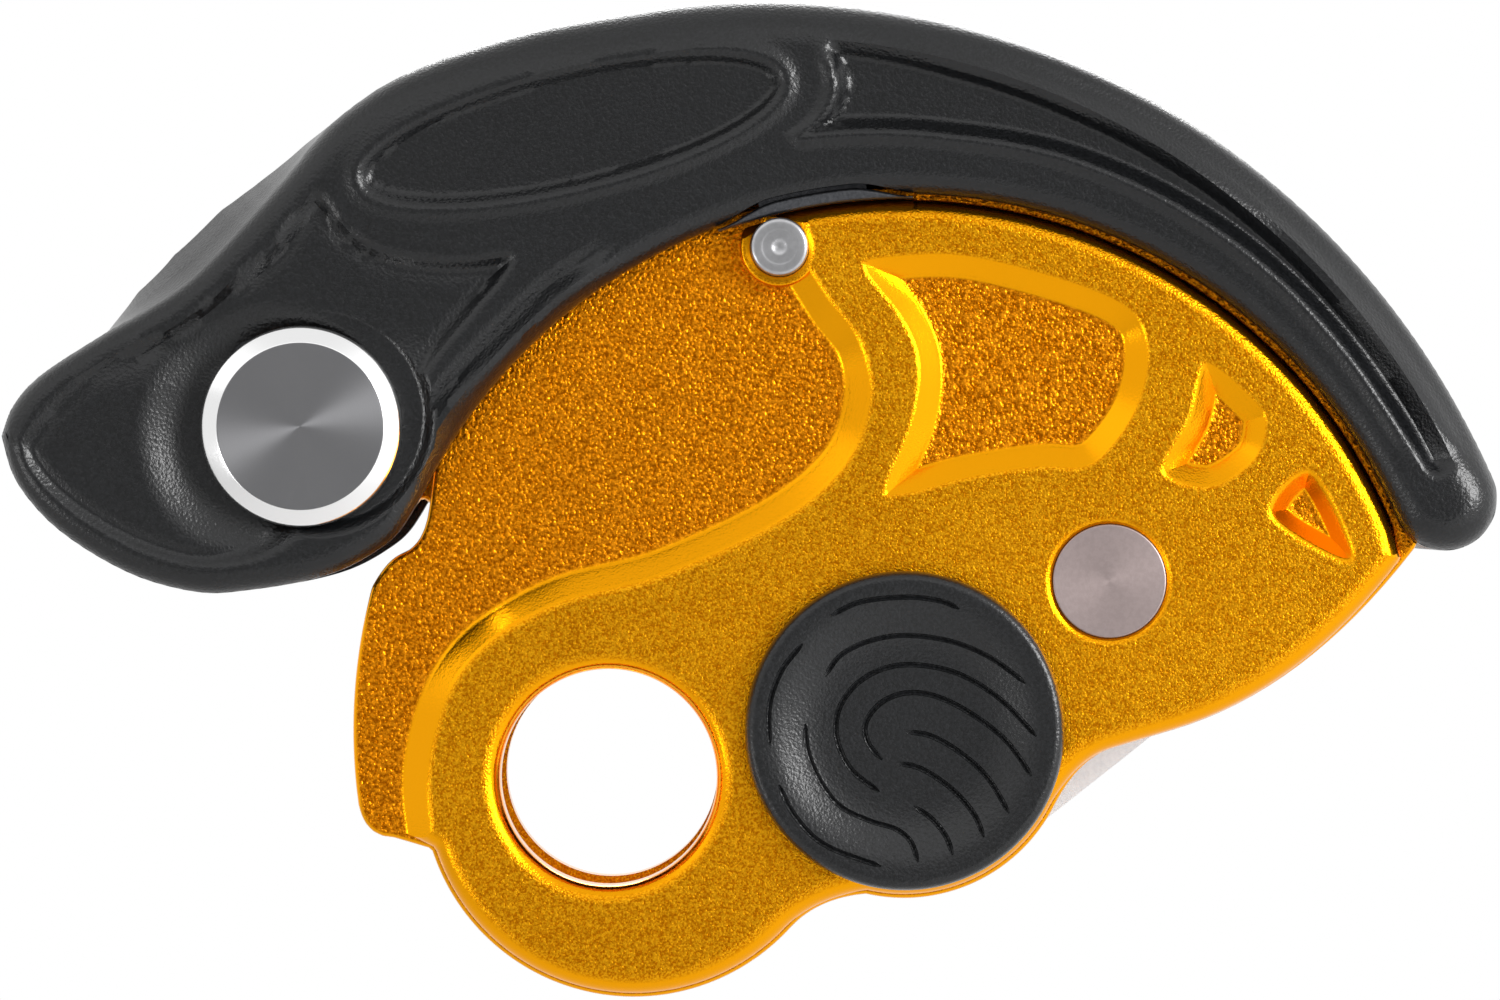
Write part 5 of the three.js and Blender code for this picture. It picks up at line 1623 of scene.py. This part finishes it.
    def pieces(self) -> Iterator[Piece]:
        """The handle's pieces."""
        at, ride = self.layout, Body.HANDLE
        leaf = self.leaf().combine(Cut.JOIN, self.lip())
        bush = sleeve(at.pin, self.pin_r + at.gap, self.eye_r - at.gap, -at.boss_y, -at.cheek_in)
        yield Piece(self.shell(), "handle_shell", ride, "moulded", MOULDED, 38.0)
        yield Piece(leaf, "handle_leaf_front", ride, "dark_steel", DARK_STEEL)
        yield Piece(self.leaf().flipped(), "handle_leaf_rear", ride, "dark_steel", DARK_STEEL)
        yield Piece(bush.flipped(), "eye_bush_rear", ride, "bronze", BRONZE)
        yield Piece(bush, "eye_bush_front", ride, "bronze", BRONZE)


@dataclass
class HandlePin(SubAssembly):
    """Pin that the handle turns on, its rear head, hub bush, return spring and spring anchor."""

    pin_r: float = 5.0
    button_r: float = 7.6
    button_thick: float = 2.4
    bevel: float = 1.3
    tail_r: float = 3.0
    tail_rise: float = 0.8
    head_thick: float = 2.0
    hub_r: float = 6.5
    wire: float = 1.3
    coil_r: float = 8.064
    turns: int = 4
    anchor_r: float = 1.2
    anchor_turn: float = 20.0

    def pin(self) -> Solid:
        """Pin with a bevelled button in front."""
        at = self.layout
        back = -at.boss_y - at.gap
        top, head = back - self.button_thick, at.boss_y + at.gap
        corners = [(0, top, 0), (self.button_r - self.bevel, top, 0.12),
                   (self.button_r - 0.12, top + self.bevel * 0.62, 0.3), (self.button_r, top + 1.2, 0.2),
                   (self.button_r, back, 0.15), (self.pin_r, back, 0.1), (self.pin_r, at.boss_y, 0.1),
                   (self.tail_r, at.boss_y, 0), (self.tail_r, head + self.head_thick + self.tail_rise, 0.5),
                   (0, head + self.head_thick + self.tail_rise, 0)]
        return Solid.turned(at.pin, eased(corners, 5), 160)

    def rear_head(self) -> Solid:
        """Bevelled ring riveted on behind."""
        at = self.layout
        face, bore = at.boss_y + at.gap, self.tail_r + at.gap
        corners = [(bore, face + 1.0, 0), (bore, face, 0.1), (self.button_r, face, 0.15),
                   (self.button_r, face + self.head_thick / 2, 0.2),
                   (self.button_r - self.bevel, face + self.head_thick, 0.2), (bore, face + self.head_thick, 0.1),
                   (bore, face + 1.0, 0)]
        return Solid.turned(at.pin, eased(corners)[:-1], 128)

    def anchor_place(self) -> Point:
        """Place of the spring's anchor."""
        reach = self.coil_r + self.wire / 2 + self.layout.gap + self.anchor_r
        return polar(self.layout.pin, reach, self.anchor_turn)

    def spring(self) -> Solid:
        """Open coil wound about the hub bush."""
        at = self.layout
        radius = self.coil_r
        pitch = self.wire + 2 * at.gap
        front = at.channel - at.gap - self.wire - pitch * self.turns
        bm = bmesh.new()
        place = Matrix.Translation((at.pin[0] + radius, front, at.pin[1]))
        bmesh.ops.create_circle(bm, cap_ends=False, segments=14, radius=self.wire / 2, matrix=place)
        steps = 40 * self.turns
        bmesh.ops.spin(bm, geom=bm.verts[:] + bm.edges[:], cent=(at.pin[0], 0, at.pin[1]), axis=(0, 1, 0),
                       dvec=(0, pitch * self.turns / steps, 0), angle=-math.tau * self.turns, steps=steps,
                       use_merge=False, use_duplicate=False)
        return Solid.closed(bm)

    def anchor(self) -> Solid:
        """Small pin that holds the spring's end."""
        at, reach = self.layout, self.anchor_r
        front = at.channel - at.gap - 2 * self.wire
        corners = [(0, front, 0), (reach, front, 0.25), (reach, at.recess_y, 0.1), (0, at.recess_y, 0)]
        return Solid.turned(self.anchor_place(), eased(corners), 48)

    def pieces(self) -> Iterator[Piece]:
        """The pin's pieces."""
        at = self.layout
        steel = turned_steel("steel of the handle pin", at.pin, (134, 134, 136), (0.36, 0.4), 0.003, 0.85,
                             self.button_r - self.bevel)
        hub = sleeve(at.pin, self.pin_r + at.gap, self.hub_r, -at.cheek_in + at.gap, at.channel - at.gap)
        for solid, node in ((self.pin(), "handle_pin"), (self.rear_head(), "pin_head_rear"), (hub, "hub_bush")):
            yield Piece(solid, node, Body.REAR, "turned_steel", steel)
        yield Piece(self.spring(), "handle_spring", Body.REAR, "spring_steel", SPRING)
        yield Piece(self.anchor(), "spring_anchor", Body.REAR, "turned_steel", POLISHED)


# Studio


@dataclass
class Studio:
    """Pale floor, soft lamps, world and camera."""

    aim: Point = (10.72, 21.02)
    distance: float = 650.0
    face: float = 10.5
    wide: float = 113.64
    floor_z: float = -120.0
    front_level: float = 0.36
    soft_level: float = 0.42

    def camera(self) -> None:
        """Camera straight in front, with the photograph's frame."""
        data = bpy.data.cameras.new("camera")
        data.sensor_width = 36.0
        data.lens = data.sensor_width * self.distance / self.wide
        data.clip_start, data.clip_end = 0.05, 20.0
        made = placed("camera", data)
        made.location = (self.aim[0] * MM, -(self.distance + self.face) * MM, self.aim[1] * MM)
        made.rotation_euler = (math.pi / 2, 0, 0)
        bpy.context.scene.camera = made

    def floor(self) -> None:
        """Pale floor that fades into the background at its rim."""
        bm = bmesh.new()
        bmesh.ops.create_circle(bm, cap_ends=True, segments=96, radius=0.6)
        bmesh.ops.translate(bm, verts=bm.verts[:], vec=(0.01, 0, self.floor_z * MM))
        mesh = bpy.data.meshes.new("floor")
        bm.to_mesh(mesh)
        bm.free()
        made = placed("floor", mesh)
        material, nodes, shader = new_material("pale floor")
        shader.inputs["Base Color"].default_value = (0.86, 0.86, 0.86, 1)
        shader.inputs["Roughness"].default_value = 0.9
        shader.inputs["Specular IOR Level"].default_value = 0.0
        place = nodes.add("ShaderNodeTexCoord")
        length = nodes.add("ShaderNodeVectorMath", operation="LENGTH")
        nodes.link(place.outputs["Object"], length.inputs[0])
        nodes.link(nodes.span(length.outputs["Value"], 0.3, 0.58, 1.0, 0.0), shader.inputs["Alpha"])
        mesh.materials.append(material)
        made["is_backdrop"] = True

    def world(self) -> None:
        """White background, and soft light from all round."""
        world = bpy.data.worlds.new("studio")
        world.use_nodes = True
        bpy.context.scene.world = world
        nodes = Nodes(world.node_tree)
        path = nodes.add("ShaderNodeLightPath")
        shown = nodes.math("MAXIMUM", path.outputs["Is Camera Ray"], path.outputs["Is Transmission Ray"])
        place = nodes.add("ShaderNodeTexCoord")
        parts = nodes.add("ShaderNodeSeparateXYZ")
        nodes.link(place.outputs["Generated"], parts.inputs[0])
        low = self.front_level
        right, left, above, below, high, deep, behind = (
            nodes.span(parts.outputs[key], *values, "SMOOTHSTEP") for key, *values in (
                ("X", 0.12, 0.6, low, 1.25), ("X", -0.12, -0.6, low, 0.85), ("Z", 0.1, 0.5, low, 1.2),
                ("Z", -0.12, -0.5, low, 0.92), ("Z", 0.6, 0.9, 1.0, 0.72), ("Z", -0.6, -0.9, 1.0, 0.62),
                ("Y", -0.05, 0.45, 0.0, 1.0)))
        seen = nodes.math("MAXIMUM", nodes.math("MAXIMUM", right, left), nodes.math("MAXIMUM", above, below))
        seen = nodes.math("MULTIPLY", nodes.math("MULTIPLY", seen, high), deep)
        seen = nodes.math("MAXIMUM", seen, behind)
        level = nodes.mix("FLOAT", path.outputs["Is Glossy Ray"], self.soft_level, seen)
        background = nodes.add("ShaderNodeBackground")
        background.inputs["Color"].default_value = (1, 1, 1, 1)
        nodes.link(nodes.mix("FLOAT", shown, level, 1.0), background.inputs["Strength"])
        out = nodes.add("ShaderNodeOutputWorld")
        nodes.link(background.outputs[0], out.inputs["Surface"])

    def lamp(self, name: str, place: tuple[float, float, float], size: float, power: float) -> None:
        """Soft square lamp that faces the device."""
        data = bpy.data.lights.new(name, "AREA")
        data.shape, data.size, data.energy = "SQUARE", size, power
        made = placed(name, data)
        made.location = place
        to_device = Vector((self.aim[0] * MM, 0, self.aim[1] * MM)) - Vector(place)
        made.rotation_euler = to_device.to_track_quat("-Z", "Y").to_euler()
        made.visible_camera = False

    def build(self) -> None:
        """Builds the studio."""
        self.camera()
        self.floor()
        self.world()
        self.lamp("key", (0.55, -0.45, 0.2), 0.32, 4.6)
        self.lamp("left", (-0.5, -0.42, -0.26), 0.32, 1.6)
        self.lamp("back", (0.05, 0.6, 0.45), 0.4, 3.0)


def main() -> None:
    """Builds the studio, then every sub-assembly in order."""
    logging.basicConfig(level=logging.INFO, format="%(name)s: %(message)s")
    bpy.context.scene.view_settings.view_transform = "Standard"
    cad_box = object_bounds()
    Studio().build()
    finishes = Finishes()
    for part in (SidePlates(), PivotGroup(), RopeStops(), Brake(), Handle(), HandlePin()):
        for piece in part.pieces():
            piece.show(finishes)
        LOG.info("%s is built", type(part).__name__)
    shown_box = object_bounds()
    boxes = {"cad": cad_box, "shown": shown_box}
    {key: [list(corner) for corner in box] for key, box in boxes.items()}


if __name__ == "__main__":
    main()
